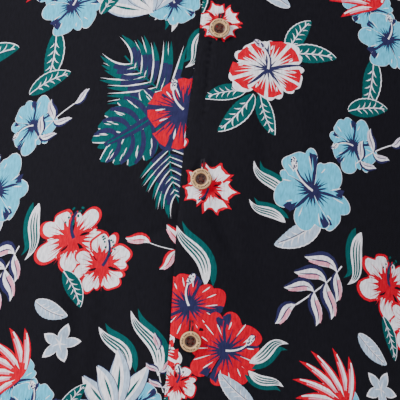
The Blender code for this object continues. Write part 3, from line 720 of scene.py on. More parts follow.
def sprig(length, seed, pairs=3, size=0.34, inks=("navy", "white", "pink")):
    """Leaflets in pairs along a stem, each with a dark edge. Points along x."""
    rng = np.random.default_rng(seed)
    path = rib(length, 0.08, 9)
    shapes = [("white", 1, stroke(path, 0.011 * length))]
    places = [(1 + int(k * 6 / pairs), side) for k in range(pairs) for side in (1, -1)] + [(8, 0)]
    for at, side in places:
        root = path[at]
        a = side * radians(rng.uniform(42, 62))
        leaflet = size * length * rng.uniform(0.85, 1.1)
        line = bend(root, root + polar(leaflet * 0.5, a + side * 0.35 + 0.1),
                    root + polar(leaflet, a), 9)
        line += np.outer(np.sin(2 * pi * np.linspace(0, 1, 9)), polar(0.05 * leaflet, a + pi / 2))
        half = leaflet * 0.16 * swell(9, 0.9, 1.0)
        shapes += [(inks[0], 0, stroke(shift(line, 0.05 * leaflet), half * 1.35)),
                   (inks[1], 0, stroke(line, half * 0.95)),
                   (inks[2], 2, stroke(shift(line, -0.07 * leaflet)[2:8], half[2:8] * 0.4)),
                   (inks[0], 2, stroke(line[1:8], 0.02 * leaflet * swell(7, 1.0, 0.5)))]
    return shapes


def ginger(size, seed, count=7, arc=130.0):
    """Long pointed petals in a fan, each with a pale line. Opens along x."""
    rng = np.random.default_rng(seed)
    shapes = []
    for k in range(count):
        a = radians(-arc / 2 + arc * (k + 0.5) / count) + rng.uniform(-0.08, 0.08)
        length = size * (0.75 + 0.3 * sin(pi * (k + 0.5) / count))
        path = bend((0, 0), polar(length * 0.55, a + 0.25), polar(length, a), 9)
        half = 0.085 * size * swell(9, 0.8, 0.8)
        shapes += [("red", 0, stroke(path, half)),
                   ("white", 1, stroke(shift(path, 0.02 * size)[1:8], half[1:8] * 0.32)),
                   ("pink", 3, stroke(shift(path, -0.025 * size)[2:7], half[2:7] * 0.2))]
    return shapes

# %% [markdown]
# ## Pattern outlines
# Each front is one flat piece: hem, side seam, armhole, shoulder, neck and the
# roll line where the lapel turns back. The back is cut whole. The outlines are
# drawn from the same named sizes, with more points so that curves stay smooth.

# %% Outlines
def armhole(side, u):
    """Armhole from the armpit, u = 0, to the shoulder tip, u = 1."""
    armpit = (SIDE_SEAM[side], ARMPIT)
    tip = (SHOULDER_TIP, float(shoulder(SHOULDER_TIP)))
    low = (armpit[0] - ARMHOLE_SCOOP[0], ARMPIT + ARMHOLE_SCOOP[1])
    high = (tip[0] - ARMHOLE_HANDLE[0], ARMHOLE_HANDLE[1])
    return bezier(armpit, low, high, tip, u)


def roll_point(l, w):
    """Pattern point l up the lapel's roll line and w out from it."""
    up = np.array([ROLL_TOP + OVERLAP, -BREAK])
    up /= np.linalg.norm(up)
    out = np.array([-up[1], up[0]])
    start = np.array([-OVERLAP, BREAK])
    return start + np.multiply.outer(l, up) + np.multiply.outer(w, out)


def back_neck(s):
    return shoulder(s) + BACK_NECK_DROP * (1 - (np.abs(s) / NECK_HALF) ** 5)


def front_neck(u):
    """Front neckline from the gorge, u = 0, to the neck point, u = 1."""
    gorge = roll_point(GORGE, 0.0)
    top = (NECK_HALF, float(shoulder(NECK_HALF)))
    return bezier(gorge, gorge + (10, -18), (NECK_HALF - 3, 16), top, u)


def arm_and_ridge(side):
    """Armhole and shoulder seam, set in by the space for the seam."""
    arm = armhole(side, np.linspace(0, 1, 49)) - [(SEWN / 2, 0)]
    arm[-1] = (SHOULDER_TIP, float(shoulder(SHOULDER_TIP)) + SEWN)
    top = np.linspace(SHOULDER_TIP, NECK_HALF, 30)[1:-1]
    return np.concatenate([arm, np.stack([top, shoulder(top) + SEWN], axis=1)])


def front_outline():
    """The wearer's left front; the right one is its mirror image."""
    side = SIDE_SEAM[FRONT] - SEWN / 2
    bottom = np.linspace(-OVERLAP, side, 60)
    hem_line = np.stack([bottom, hem(FRONT, bottom)], axis=1)
    neck = front_neck(np.linspace(1, 0, 16))
    roll = roll_point(np.array([GORGE, 0.0]), 2 * SEAM)
    return np.concatenate([hem_line, arm_and_ridge(FRONT), neck[:-1] + (0, SEWN), roll])


def back_outline():
    """The back, cut whole."""
    side = SIDE_SEAM[BACK] - SEWN / 2
    bottom = np.linspace(-side, side, 90)
    hem_line = np.stack([bottom, hem(BACK, bottom)], axis=1)
    neck_s = NECK_HALF * np.cos(np.linspace(0, pi / 2, 22))
    neck = np.stack([neck_s, back_neck(neck_s) + SEWN], axis=1)
    half = np.concatenate([arm_and_ridge(BACK), neck])
    return np.concatenate([hem_line, half, half[-2::-1] * (-1, 1)])


def area_of(outline):
    """Area inside a closed outline."""
    x, y = outline.T
    return abs(np.dot(x, np.roll(y, -1)) - np.dot(y, np.roll(x, -1))) / 2


OUTLINES = {"front_left": front_outline(), "back": back_outline()}
OUTLINES["front_right"] = OUTLINES["front_left"] * (-1, 1)
for name, outline in OUTLINES.items():
    print(name, "is", np.ptp(outline, axis=0).round(), "mm,",
          round(area_of(outline) / 1e6, 3), "square metres")

# %% [markdown]
# ## Small creases
# Beside the large folds, worn cloth has short creases where it is pulled: at
# the buttons, beside the front edge and at the armholes. They go only into
# the cloth that is seen, as shallow troughs and ridges.

# %% Small creases
# s, t of the middle (mm), angle from level (deg), length, width, depth
CREASES = {
    "front_left": [
        (16, 299, 60, 34, 10, -1.3), (24, 296, 62, 30, 9, 0.7), (6, 262, 66, 12, 4, -0.55),
        (2.5, 259, 88, 13, 3.5, 0.45), (-2.2, 261, 104, 13, 3.5, -0.5),
        (-6, 263, 124, 12, 4, 0.35), (7, 279, 118, 12, 4, 0.3), (10, 272, 10, 20, 6, -0.4),
        (0.5, 352, 92, 20, 3.5, -0.4), (5, 354, 70, 16, 4, 0.35), (1, 160, 94, 18, 4, -0.4),
        (34, 236, 82, 44, 12, -0.6), (52, 212, 74, 60, 16, 0.7), (70, 262, 96, 46, 14, -0.6),
        (44, 352, 8, 44, 14, 0.7), (78, 322, -14, 40, 12, -0.7), (36, 384, 40, 36, 12, -0.5),
        (60, 470, 100, 70, 14, -0.8), (108, 540, 78, 90, 18, 0.8), (36, 640, 120, 60, 14, -0.7),
        (130, 330, 64, 70, 16, -0.7),
    ],
    "front_right": [
        (-20, 300, 150, 30, 8, -0.8), (-16, 262, 160, 24, 7, -0.5), (-34, 250, 84, 56, 14, 0.6),
        (-48, 300, 96, 60, 14, -0.6), (-70, 350, 88, 70, 12, -0.8), (-62, 366, 92, 60, 12, 0.6),
        (-30, 352, 78, 50, 12, -0.6), (-88, 210, 70, 60, 16, -0.7), (-66, 455, 74, 70, 14, -0.8),
        (-110, 560, 96, 90, 18, 0.8), (-40, 620, 60, 60, 14, -0.7),
    ],
    "back": [
        (-120, 250, 62, 80, 18, -0.9), (112, 262, 116, 84, 18, -0.9), (-60, 360, 84, 90, 16, 0.8),
        (70, 420, 98, 90, 16, 0.8), (10, 500, 74, 110, 18, -0.9), (-130, 580, 100, 90, 16, -0.8),
        (120, 620, 78, 80, 16, 0.8),
    ],
}


CREASED = 1.6  # how much deeper than in the table


def ripple(along, scale, seed):
    """Uneven small waves along a line, between -1 and 1."""
    rng = np.random.default_rng(seed)
    total = np.zeros(np.shape(along))
    for k in range(5):
        turn = rng.uniform(0, 2 * pi)
        total += np.sin(along / (scale * rng.uniform(0.6, 1.8)) + turn)
    return total / 3.2


print(sum(map(len, CREASES.values())), "small creases")

# %% [markdown]
# ## Hems and seams
# A hem is cloth turned up twice, so it stands a little proud, and its stitches
# pull it into slanting ripples. At a seam the cloth dips where it is sewn.

# %% Hems and seams
HEM = 17.0  # depth of the body's hem, sleeve hems too
HEM_ROW = 1.5  # hem's upper edge to its row of stitches
EDGE_STITCH = 1.3  # front edge to its row of stitches
SEAM_END = 720.0  # past the end of the side seams, below the hem


def hem_relief(inside_by, along, seed):
    """Height of the cloth near a hem, so far inside its edge."""
    band = smoothstep((HEM + 1.0 - inside_by) / 1.5)
    row = np.exp(-((inside_by - HEM + HEM_ROW) / 0.9) ** 2)
    pull = np.exp(-((inside_by - HEM) / 8.0) ** 2) + 0.6 * band
    slant = ripple(along + 0.8 * inside_by, 2.3, seed)
    return 0.35 * band - 0.3 * row + 0.22 * pull * slant


def line_distance(points, line):
    """Distance from each point to an open line."""
    nearest = np.full(len(points), np.inf)
    for a, b in zip(line[:-1], line[1:]):
        along = b - a
        share = np.clip((points - a) @ along / max(along @ along, 1e-9), 0, 1)
        gap = lengths(points - a - share[:, None] * along)
        nearest = np.minimum(nearest, gap)
    return nearest


def seam_dip(distance, along, seed):
    """The cloth dips at a seam and puckers a little beside it."""
    return (-0.55 * np.exp(-(distance / 1.3) ** 2)
            + 0.16 * np.exp(-(distance / 6.0) ** 2) * ripple(along, 2.6, seed))

# %% [markdown]
# ## Where the fronts and the back lie
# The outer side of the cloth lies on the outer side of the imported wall. The
# wearer's left front laps over the right one, and its edge bends down to it.

# %% Body cloth
def body_cloth(piece):
    """Function that carries pattern points to the outer side of a piece."""
    side = BACK if piece == "back" else FRONT
    hand = -1 if piece == "front_right" else 1
    top = np.linspace(SHOULDER_TIP, NECK_HALF, 7)[1:]
    seam = np.concatenate([[(SIDE_SEAM[side], SEAM_END)], armhole(side, np.linspace(0, 1, 25)),
                           np.stack([top, shoulder(top)], axis=1)])
    seams = [seam * (k, 1) for k in ((1, -1) if side == BACK else (hand,))]

    def place(p, off=0.0):
        p = np.asarray(p, float)
        # seen from behind, the back's pattern runs the other way
        s, t = p[:, 0] * (-1 if side == BACK else 1), p[:, 1]
        height = WALL + off + relief(CREASES[piece], s, t, CREASED)
        if piece == "front_left":
            edge = s + OVERLAP
            height = height + over_lift(s) - 0.9 * (1 - smoothstep(edge / 4.0))
            height -= 0.16 * np.exp(-((edge - EDGE_STITCH) / 0.5) ** 2)
            height += (0.07 * ripple(t, 1.5, 5) * np.exp(-((edge - EDGE_STITCH) / 2.2) ** 2))
            press = 9.4 + 0.6 * np.sin(t / 31)
            height -= (0.8 * np.exp(-((edge - press) / 1.2) ** 2) * smoothstep((250 - t) / 40))
        height += hem_relief(hem(side, s) - t, s, len(piece))
        for line in seams:
            near = line_distance(np.stack([s, t], axis=1), line)
            height += seam_dip(near, s + t, 3)
        return wrap(side, s, t, height)
    return place


PLACES = {piece: body_cloth(piece) for piece in OUTLINES}
edge = PLACES["front_left"](np.array([[-OVERLAP, 269.0], [40.0, 269.0]]))
print("front edge at", edge[0].round(1), "mm")

# %% [markdown]
# ## Lapels
# The lapel is the part of the front that turns back over the roll line. Its
# pattern runs l up the roll line and q across the cloth: first round the roll,
# then out over the chest.

# %% Lapels
LAPEL = {+1: [(3.0, 3.5, 1.0), (97.0, 92.0, 62.0), (125.5, 119.0, 38.0)],
    -1: [(32.0, 24.5, 15.0), (99.0, 92.0, 62.0), (125.5, 119.0, 38.0)],}

ROLL = pi * ROLL_RADIUS


def lapel_outline(side):
    """Roll line, foot, tip and notch of a lapel in its own pattern."""
    foot, tip, notch = LAPEL[side]
    corner = 2.5
    edge = bend((foot[1], ROLL + foot[2]),
                ((foot[1] + tip[1]) / 2 - 4, ROLL + (foot[2] + tip[2]) / 2 + 3),
                (tip[1] - corner * 1.1, ROLL + tip[2] - corner * 0.7), 24)
    point = bend(edge[-1], (tip[1], ROLL + tip[2]),
                 (tip[1] + corner * 0.9, ROLL + tip[2] - corner), 6)
    return np.concatenate([[(notch[0], 0.0), (foot[0], 0.0), (foot[0], ROLL)],
                           edge, point[1:], [(notch[1], ROLL + notch[2]), (notch[0], ROLL)]])


def lapel_cloth(side):
    """Function that carries lapel points to the side that shows."""
    def place(p, off=0.0):
        l, q = np.asarray(p, float).T
        turn = np.clip(q / ROLL_RADIUS, 0, pi)
        w = np.where(q < ROLL, -ROLL_RADIUS * np.sin(turn), q - ROLL)
        height = np.where(q < ROLL, ROLL_RADIUS * (1 - np.cos(turn)), 2 * ROLL_RADIUS
                          - LAPEL_SETTLE * smoothstep(w / LAPEL_SPAN))
        height = height + 0.12 * ripple(l + 0.4 * q, 6, 8) * smoothstep(w / 8)
        # past the roll the side that shows is away from the front panel
        push_w = np.where(q < ROLL, -np.sin(turn) * off, 0.0)
        push_h = np.where(q < ROLL, -np.cos(turn) * off, off)
        pattern = roll_point(l, w + push_w)
        s, t = pattern[:, 0] * side, pattern[:, 1]
        base = over_lift(s) if side > 0 else 0.0
        return wrap(FRONT, s, t, base + height + push_h)
    return place


print("the lapel's roll is", round(ROLL, 1), "mm of cloth")

# %% [markdown]
# ## Collar
# The collar is one strip sewn to the neck. At each place along the neck seam
# its section climbs the stand, turns over and falls on the shoulders. The
# sections are swept along the seam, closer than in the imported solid, and the
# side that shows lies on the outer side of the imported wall.

# %% Collar sections
# seam: 0 centre back, 1 shoulder, 2 gorge; stand, reach over the body (mm)

COLLAR = [(0.0, 31, 27), (0.5, 30, 29), (0.8, 28, 35), (1.0, 25, 43),
          (1.3, 18, 54), (1.6, 11, 64), (2.0, 3.0, 73)]
COLLAR_END = (-12.0, 72.0)  # collar end, down and out from the roll line
COLLAR_ROLL = 2.4  # radius of the collar's fold
COLLAR_CLEAR = 0.9  # the fall lies this far off the body
RIDGE_CLEAR, RIDGE_SPAN = 3.2, 0.2  # and this much further at the shoulder
COLLAR_ROWS = 4  # up the stand, and as many down the fall
COLLAR_DEPTH = 60  # about, along its section
COLLAR_STITCH = 5.5  # its edge to its row of stitches
COLLAR_POINTS = 90  # along its outer edge, in the flat outline


def neck_seam(k):
    """Side, point and outward direction on the neck seam, on the wearer's left.

    k runs from 0 at the centre back over 1 at the neck point to 2 at the gorge.
    """
    ridge = np.array([1.0, SHOULDER_SLOPE])
    ridge /= np.linalg.norm(ridge)
    if k <= 1:
        s = NECK_HALF * sin(k * pi / 2)
        point = np.array([s, float(back_neck(s))])
        turn = k ** 1.5 * np.arctan2(ridge[0], ridge[1])
        return BACK, point, np.array([sin(turn), cos(turn)])
    point = front_neck([2 - k])[0]
    end = roll_point(*COLLAR_END) - roll_point(0.0, 0.0)
    end /= np.linalg.norm(end)
    mix = ridge + (end - ridge) * (k - 1) ** 0.8
    return FRONT, point, mix / np.linalg.norm(mix)


def collar_section(k, mirror):
    """One section of the collar: up the stand, over, and down the fall."""
    side, point, out = neck_seam(k)
    places, *sizes = zip(*COLLAR)
    stand, reach = (np.interp(k, places, column) for column in sizes)
    roll = min(COLLAR_ROLL, stand / 2)
    rise = stand - roll
    rows = np.linspace(0, 1, COLLAR_ROWS)
    section = [(-SEAM - 0.1 - 0.06 * rise * a, rise * a) for a in rows]
    lean = section[-1][0]
    section += [(lean + roll * (1 - cos(a)), rise + roll * sin(a)) for a in (pi / 3, pi * 2 / 3)]
    ridge = RIDGE_CLEAR * np.exp(-((k - 1) / RIDGE_SPAN) ** 2)
    landing = WALL + COLLAR_CLEAR + ridge
    start = lean + 2 * roll
    for a in np.linspace(0, 1, COLLAR_ROWS + 2):
        over = start + (reach - start) * a
        height = landing + (rise - landing) * (1 - a) ** 1.5
        section.append((over, max(height, landing)))
    points = []
    for over, height in section:
        s, t = point + out * over
        share = min(landing, height) if over > 0 else 0.0
        points.append(wrap(side, s * mirror, t, share) + (0, 0, height - share))
    return points

# %% [markdown]
# ## Sleeves
# A sleeve is a tube from the armhole to its own hem. Each line down it leaves
# the armhole square to the seam and bends down to the hem, as a Hermite curve.

# %% Sleeve lines
SLEEVE_COLUMNS, SLEEVE_ROWS = 28, 10


def armhole_edge(side, u, mirror):
    """World points of an armhole, and the way out of the cloth at each."""
    point, below = (armhole(side, u - step) * (mirror, 1) for step in (0.0, 0.004))
    edge = wrap(side, *point.T, WALL / 2)
    along = wrap(side, *point.T) - wrap(side, *below.T)
    out = unit(np.cross(along, normal(side, *point.T)))
    inward = edge.mean(axis=0) - edge
    return edge, out * np.sign(np.sum(out * inward))


def armhole_ring(mirror):
    """The armhole's points, ways out of it and shares of the way round.

    It starts at the shoulder and runs down the front and up the back.
    """
    u = np.linspace(1, 0, SLEEVE_COLUMNS // 2 + 1)
    front, front_out = armhole_edge(FRONT, u, mirror)
    back, back_out = armhole_edge(BACK, u[::-1], mirror)
    for pair in ((front, back), (front_out, back_out)):
        top, low = pair[0][0] + pair[1][-1], pair[0][-1] + pair[1][0]
        pair[0][0], pair[1][0] = top / 2, low / 2
    shares = []
    for half in (front, back):
        steps = lengths(np.diff(half, axis=0))
        shares.append(np.append(0, np.cumsum(steps))[:-1] / steps.sum() / 2)
    share = np.concatenate([shares[0], shares[1] + 0.5])
    ring_ = np.concatenate([front[:-1], back[:-1]])
    out = np.concatenate([front_out[:-1], back_out[:-1]])
    return ring_, unit(out), share


def cuff_ring(mirror, share):
    """Points of the sleeve's edge, share being the way round from its top."""
    turn = 2 * pi * share
    top = np.array([cos(CUFF_LEAN) * mirror, 0, sin(CUFF_LEAN)])
    centre = np.array(CUFF_CENTRE) * (mirror, 1, 1)
    return (centre + np.outer(np.cos(turn) * CUFF_WIDE, top)
            + np.outer(np.sin(turn) * CUFF_DEEP, (0, -1.0, 0)))


def sleeve_height(share, way):
    """Folds of a sleeve, share round it and way down it."""
    height = np.zeros(np.broadcast(share, way).shape)
    for turn, place, angle, length, width, depth in SLEEVE_FOLDS:
        around = ((share - turn / 360 + 0.5) % 1 - 0.5) * SLEEVE_ROUND
        down = (way - place) * SLEEVE_LONG
        c, k = cos_sin(angle)
        height = height + fold_height(around * k - down * c, around * c + down * k,
                                      length, width, depth)
    return height * smoothstep(way / 0.12)


def round_off(row, amount, passes=5):
    """Draw the points of a closed row towards their neighbours."""
    for _ in range(passes):
        beside = (np.roll(row, 1, axis=0) + np.roll(row, -1, axis=0)) / 2
        row = row + 0.5 * amount * (beside - row)
    return row

def sleeve_rows(mirror):
    """Rings of points down the outer side of a sleeve, armhole first."""
    ring_, out, share = armhole_ring(mirror)
    cuff = cuff_ring(mirror, share)
    length = lengths(cuff - ring_, keepdims=True)
    straight = (cuff - ring_) / length
    facing = np.sum(straight * out, axis=1, keepdims=True)
    start = ring_ + out * (SEAM + SLEEVE_CLEAR + SLEEVE_TURN * np.maximum(0, -facing))
    leave = straight + SLEEVE_CROWN * np.maximum(0, facing) * out
    leave *= length * SLEEVE_PULL / lengths(leave, keepdims=True)
    arrive = np.array([sin(CUFF_LEAN) * mirror, 0, -cos(CUFF_LEAN)])
    arrive = arrive * length * SLEEVE_PULL
    rows = []
    for way in np.linspace(0, 1, SLEEVE_ROWS + 1):
        row = ((1 + 2 * way) * (1 - way) ** 2 * start + way * (1 - way) ** 2 * leave
               + way ** 2 * (3 - 2 * way) * cuff + way ** 2 * (way - 1) * arrive)
        row = round_off(row, sin(pi * way ** 0.6))
        radial = unit(row - row.mean(axis=0))
        rows.append(row + radial * sleeve_height(share, way)[:, None])
    return np.array(rows)

# %% [markdown]
# ## Cloth from rows of points
# The collar and the sleeves are known as rows of points in space. A smooth
# curve runs through the rows both ways, so their flat patterns can be cut as
# finely as the print needs. Lengths along the rows give the flat sizes.

# %% Smooth surface through rows
def through(grid, i, j, closed=False):
    """Points of a smooth surface through a grid at the indices i, j."""
    def weights(f):
        return (((-f + 2) * f - 1) * f / 2, ((3 * f - 5) * f * f + 2) / 2,
                ((-3 * f + 4) * f + 1) * f / 2, (f - 1) * f * f / 2)

    rows, columns = grid.shape[:2]
    i = np.clip(i, 0, rows - 1 - 1e-9)
    j = j if closed else np.clip(j, 0, columns - 1 - 1e-9)
    i0, j0 = np.floor(i).astype(int), np.floor(j).astype(int)
    total = 0.0
    for a, wi in enumerate(weights(i - i0)):
        for b, wj in enumerate(weights(j - j0)):
            ii = np.clip(i0 + a - 1, 0, rows - 1)
            jj = (j0 + b - 1) % columns if closed else np.clip(j0 + b - 1, 0, columns - 1)
            total = total + (wi * wj)[:, None] * grid[ii, jj]
    return total


def grid_normals(grid, closed=False):
    """Unit normals of a grid, by differences along its rows and columns."""
    down = np.gradient(grid, axis=0)
    if closed:
        across = np.roll(grid, -1, axis=1) - np.roll(grid, 1, axis=1)
    else:
        across = np.gradient(grid, axis=1)
    return unit(np.cross(across, down), 1e-12)


def collar_cloth():
    """The collar's flat outline, and its place in space."""
    ks = 2 * np.linspace(0, 1, 16) ** 0.85
    stations = [(k, -1) for k in ks[::-1]] + [(k, 1) for k in ks[1:]]
    grid = np.array([collar_section(k, mirror) for k, mirror in stations])
    n = grid_normals(grid)
    n *= np.sign(np.sum(n[:, -3:, 2]))
    outer = grid + WALL * n
    steps = lengths(np.diff(grid, axis=1))
    depth = steps.sum(axis=1)
    profile = np.append(0, np.cumsum((steps / depth[:, None]).mean(axis=0)))
    runs = lengths(np.diff(grid, axis=0))[:, [0, -1]].mean(axis=1)
    along = np.append(0, np.cumsum(runs))
    along -= along[-1] / 2
    index = np.arange(len(along), dtype=float)

    def place(p, off=0.0):
        i = np.interp(p[:, 0], along, index)
        share = p[:, 1] / np.interp(p[:, 0], along, depth)
        j = np.interp(share, profile, np.arange(len(profile), dtype=float))
        edge = (1 - share) * COLLAR_DEPTH
        puff = (0.25 * smoothstep((7.5 - edge) / 2.5)
                - 0.3 * np.exp(-((edge - COLLAR_STITCH) / 0.7) ** 2))
        return through(outer, i, j) + unit(through(n, i, j)) * (off + puff)[:, None]

    x = np.linspace(along[0], along[-1], COLLAR_POINTS)
    edge = np.stack([x, np.interp(x, along, depth)], axis=1)
    seam = np.stack([x[::-1], 0 * x], axis=1)
    return np.concatenate([edge, seam]), place


def sleeve_cloth(mirror):
    """A sleeve's flat outline, with a straight hem and a round head, and its place."""
    grid = sleeve_rows(mirror)
    share = armhole_ring(mirror)[2]
    n = grid_normals(grid, closed=True)
    n *= np.sign(np.sum(n * (grid - grid.mean(axis=(0, 1)))))
    steps = lengths(np.diff(grid, axis=0))
    down = np.append(share, 1.0), np.append(steps.sum(axis=0), steps[:, 0].sum())
    rounds = lengths(np.roll(grid, -1, axis=1) - grid).sum(axis=1)
    girth = np.polyfit(np.linspace(0, 1, len(rounds)), rounds, 1)
    columns = np.append(share, 1.0), np.arange(len(share) + 1, dtype=float)

    def place(p, off=0.0):
        way = np.full(len(p), 0.6)
        for _ in range(12):
            turn = -mirror * p[:, 0] / np.polyval(girth, way)
            turn = np.clip(turn, -0.5, 0.5)
            way = 1 + p[:, 1] / np.interp(turn % 1, *down)
        j = np.interp(turn % 1, *columns)
        i = np.clip(way, 0, 1) * (len(grid) - 1)
        facing = unit(through(n, i, j, closed=True))
        lift = hem_relief(-p[:, 1], p[:, 0], 9 + mirror)
        lift += seam_dip(way * 150, p[:, 0], 4)
        return through(grid, i, j, closed=True) + facing * (lift + off)[:, None]

    turn = np.linspace(-0.4999, 0.4999, 90)
    long_ = np.interp(-mirror * turn % 1, *down)
    head = np.stack([turn * np.polyval(girth, 0), -long_], axis=1)
    hem_line = np.stack([turn[::-1] * np.polyval(girth, 1), 0 * turn], axis=1)
    return np.concatenate([head, hem_line]), place


OUTLINES["collar"], PLACES["collar"] = collar_cloth()
for hand, side in (("left", 1), ("right", -1)):
    OUTLINES["sleeve_" + hand], PLACES["sleeve_" + hand] = sleeve_cloth(side)
    OUTLINES["lapel_" + hand] = lapel_outline(side)
    PLACES["lapel_" + hand] = lapel_cloth(side)
for name, outline in OUTLINES.items():
    print(name, np.ptp(outline, axis=0).round(), "mm")

# %% [markdown]
# ## Layout of the print
# A printed cloth repeats. One repeat here is 230 mm wide and 250 mm long, and
# each neighbour to the side is set half a repeat lower, as on most furnishing
# and dress prints, so that the eye does not find rows. The table lists every
# motif of one repeat, the lower ones first, as a printer lays one ink on
# another.

# %% One repeat
REPEAT = (230.0, 250.0)  # mm, across and down

# x, y of the motif's root (mm), turn (deg, clockwise), shapes
PRINT = [
    # between the two fronts
    (98, 20, 96, leaf(34, 12, 0.1)),
    (84, 58, -20, leaf(28, 11, 0.1)),
    (99, 128, 100, blade(34, 8, 0.12)),
    (104, 188, 30, leaf(24, 10, -0.1, "mist")),
    (205, 30, 110, sprig(34, 74, 2, 0.4)),
    (212, 112, 84, leaf(30, 12, 0.1)),
    (210, 236, 140, blade(30, 8, 0.12)),
    (208, 96, 0, hibiscus(17, 30, 78, "white", 0.95, -70)),
    (204, 160, 0, small_flower(12, 15, 79)),
    (206, 224, 0, hibiscus(16, 0, 80, "bordered", 0.95, -100)),
    # wearer's left front
    (93, -14, 0, hibiscus(18, 30, 40, "sky")),
    (43, 31, -62, leaf(28, 11, 0.12)),
    (42, 33, -10, leaf(32, 12, 0.1)),
    (20, 62, 162, leaf(24, 10, -0.12)),
    (25, 63, 125, leaf(32, 11, 0.1)),
    (29, 62, 65, leaf(26, 10, -0.1)),
    (32, 45, 0, hibiscus(26, 12, 46, "white", 0.86, -112)),
    (-1, 18, 0, hibiscus(12, 40, 47, "starry", 1.0, 130)),
    (89, 78, 0, hibiscus(17, 20, 48, "sky", 1.0, 160)),
    (52, 122, -141, blade(29, 7, 0.14)),
    (51, 136, -158, blade(24, 6, 0.1)),
    (72, 129, 141, leaf(34, 12, 0.12, "mist")),
    (66, 113, 0, hibiscus(25, 25, 52, "sky", 1.0, -133)),
    (5, 124, 0, hibiscus(13.5, 5, 53, "starry", 0.95, 125)),
    (7, 181, -120, blade(40, 8, -0.16)),
    (88, 152, 130, sprig(40, 55, 3, 0.5)),
    (-6, 240, 0, hibiscus(13, 10, 62, "bordered")),
    (-2, 194, 0, hibiscus(23, 40, 56, "red", 0.95, -88)),
    (21, 218, 0, hibiscus(23, 10, 57, "red", 0.98, -31)),
    (36, 223, -35, blade(28, 7, 0.14)),
    (36, 228, 13, blade(23, 6, -0.1)),
    (42, 249, -144, leaf(29, 11, 0.1, "mist")),
    (100, 233, -154, ginger(36, 61)),
    # wearer's right front
    (107, 4, 0, hibiscus(20, 20, 21, "sky")),
    (156, -15, 83, blade(33, 8, 0.14)),
    (175, -10, 96, blade(36, 8, -0.12)),
    (191, 24, 108, blade(27, 7, 0.14)),
    (92, 88, -40, sprig(30, 25, 2, 0.45, ("navy", "white", "lilac"))),
    (177, 71, -138, frond(44, 48, 0.06, 26)),
    (172, 79, 152, split_leaf(43, 37, 0.08, 28)),
    (179, 99, 75, frond(37, 36, -0.1, 29)),
    (185, 77, 0, hibiscus(24, 30, 27, "dusky", 1.0, -116)),
    (124, 153, 0, hibiscus(23, 15, 30, "bordered", 0.95, -88)),
    (143, 171, 0, hibiscus(20, 50, 31, "bordered", 1.05, -79)),
    (120, 172, 64, leaf(26, 9, 0.1)),
    (192, 162, -169, sprig(20, 33, 1, 0.85, ("red", "white", "pink"))),
    (122, 216, 0, small_flower(12, 0, 34)),
    (165, 236, -127, blade(35, 8, -0.14)),
    (183, 237, -117, blade(43, 8, -0.14)),
    (171, 255, 0, hibiscus(18, 0, 38, "sky")),
    (159, 261, -108, lily(37, 0, 37)),
    (187, 247, -103, sprig(26, 39, 2, 0.4, ("navy", "lilac", "pink"))),
    (126, 262, -55, leaf(24, 9, 0.1)),
]
print(len(PRINT), "motifs with", sum(len(row[3]) for row in PRINT), "shapes")

# %% [markdown]
# ## Laying the print on a piece
# A cutter lays each pattern piece somewhere on the cloth. A piece's place is
# where its own origin falls on the repeat, and whether it is laid turned.
# Every copy of a motif that reaches the piece is carried over to it.

# %% Print on a piece
def spun(points, turn):
    """Points turned about the origin, clockwise on the cloth."""
    c, k = cos_sin(turn)
    return points @ np.array([[c, k], [-k, c]])


MOTIF_REACH = 60  # mm, no motif reaches further from its root
# outlines of this many points are halved where the cloth isn't seen close up
FINE_POINTS = 12


def laid(place, low, high, detail):
    """Shapes of the print that reach a box of a piece, lowest first.

    Detail tells up to which level a motif is drawn, by its root on the piece.
    """
    x0, y0, lay = place
    shapes = []
    corners = np.array([low, (low[0], high[1]), high, (high[0], low[1])])
    on_cloth = spun(corners, lay) + (x0, y0)
    first = np.floor(on_cloth.min(axis=0) / REPEAT).astype(int) - 1
    last = np.floor(on_cloth.max(axis=0) / REPEAT).astype(int) + 1
    for x, y, turn, motif in PRINT:
        for i in range(first[0], last[0] + 1):
            for j in range(first[1] - 1, last[1] + 1):
                root = np.array([x + i * REPEAT[0], y + j * REPEAT[1] + (i % 2) * REPEAT[1] / 2])
                root = spun(root - (x0, y0), -lay)
                if (root < low - MOTIF_REACH).any() or (root > high + MOTIF_REACH).any():
                    continue
                level = detail(root)
                for ink, fine, points in motif:
                    if fine > level:
                        continue
                    if level < 3 and len(points) >= FINE_POINTS:
                        points = points[::2]
                    shapes.append((INKS.index(ink), spun(points, turn - lay) + root))
    return shapes


# piece: x, y of its origin on the repeat (mm) and how it is turned (deg)
LAID = {"front_left": (0.0, -150.0, 0.0), "front_right": (200.0, -150.0, 0.0),
        "back": (96.0, 40.0, 0.0), "lapel_left": (60.0, 20.0, 200.0),
        "lapel_right": (150.0, 90.0, 160.0), "collar": (20.0, 130.0, 90.0),
        "sleeve_left": (40.0, 200.0, 0.0), "sleeve_right": (170.0, 60.0, 0.0)}
print("pieces laid:", ", ".join(LAID))

# %% [markdown]
# ## Cutting and printing the cloth
# A print with crisp edges can be part of the mesh itself. A flat triangulation
# is cut along the outline of the piece and along the edge of every motif, so
# each triangle lies in one ink, and the ink is that of the last shape laid
# over it. The edges stay sharp however near the cloth is seen.

# %% Flat cutting
def extent(points):
    """Lowest and highest corner of the box round flat points."""
    return points.min(axis=0), points.max(axis=0)


def wound(points, loop):
    """Which points a closed loop goes round, also where it crosses itself."""
    x, y = points[:, 0], points[:, 1]
    turns = np.zeros(len(points), int)
    for (ax, ay), (bx, by) in zip(loop, np.roll(loop, -1, axis=0)):
        if ay == by:
            continue
        crosses = (ay > y) != (by > y)
        left = x < ax + (y - ay) * (bx - ax) / (by - ay)
        turns += (crosses & left) * (1 if by > ay else -1)
    return turns != 0


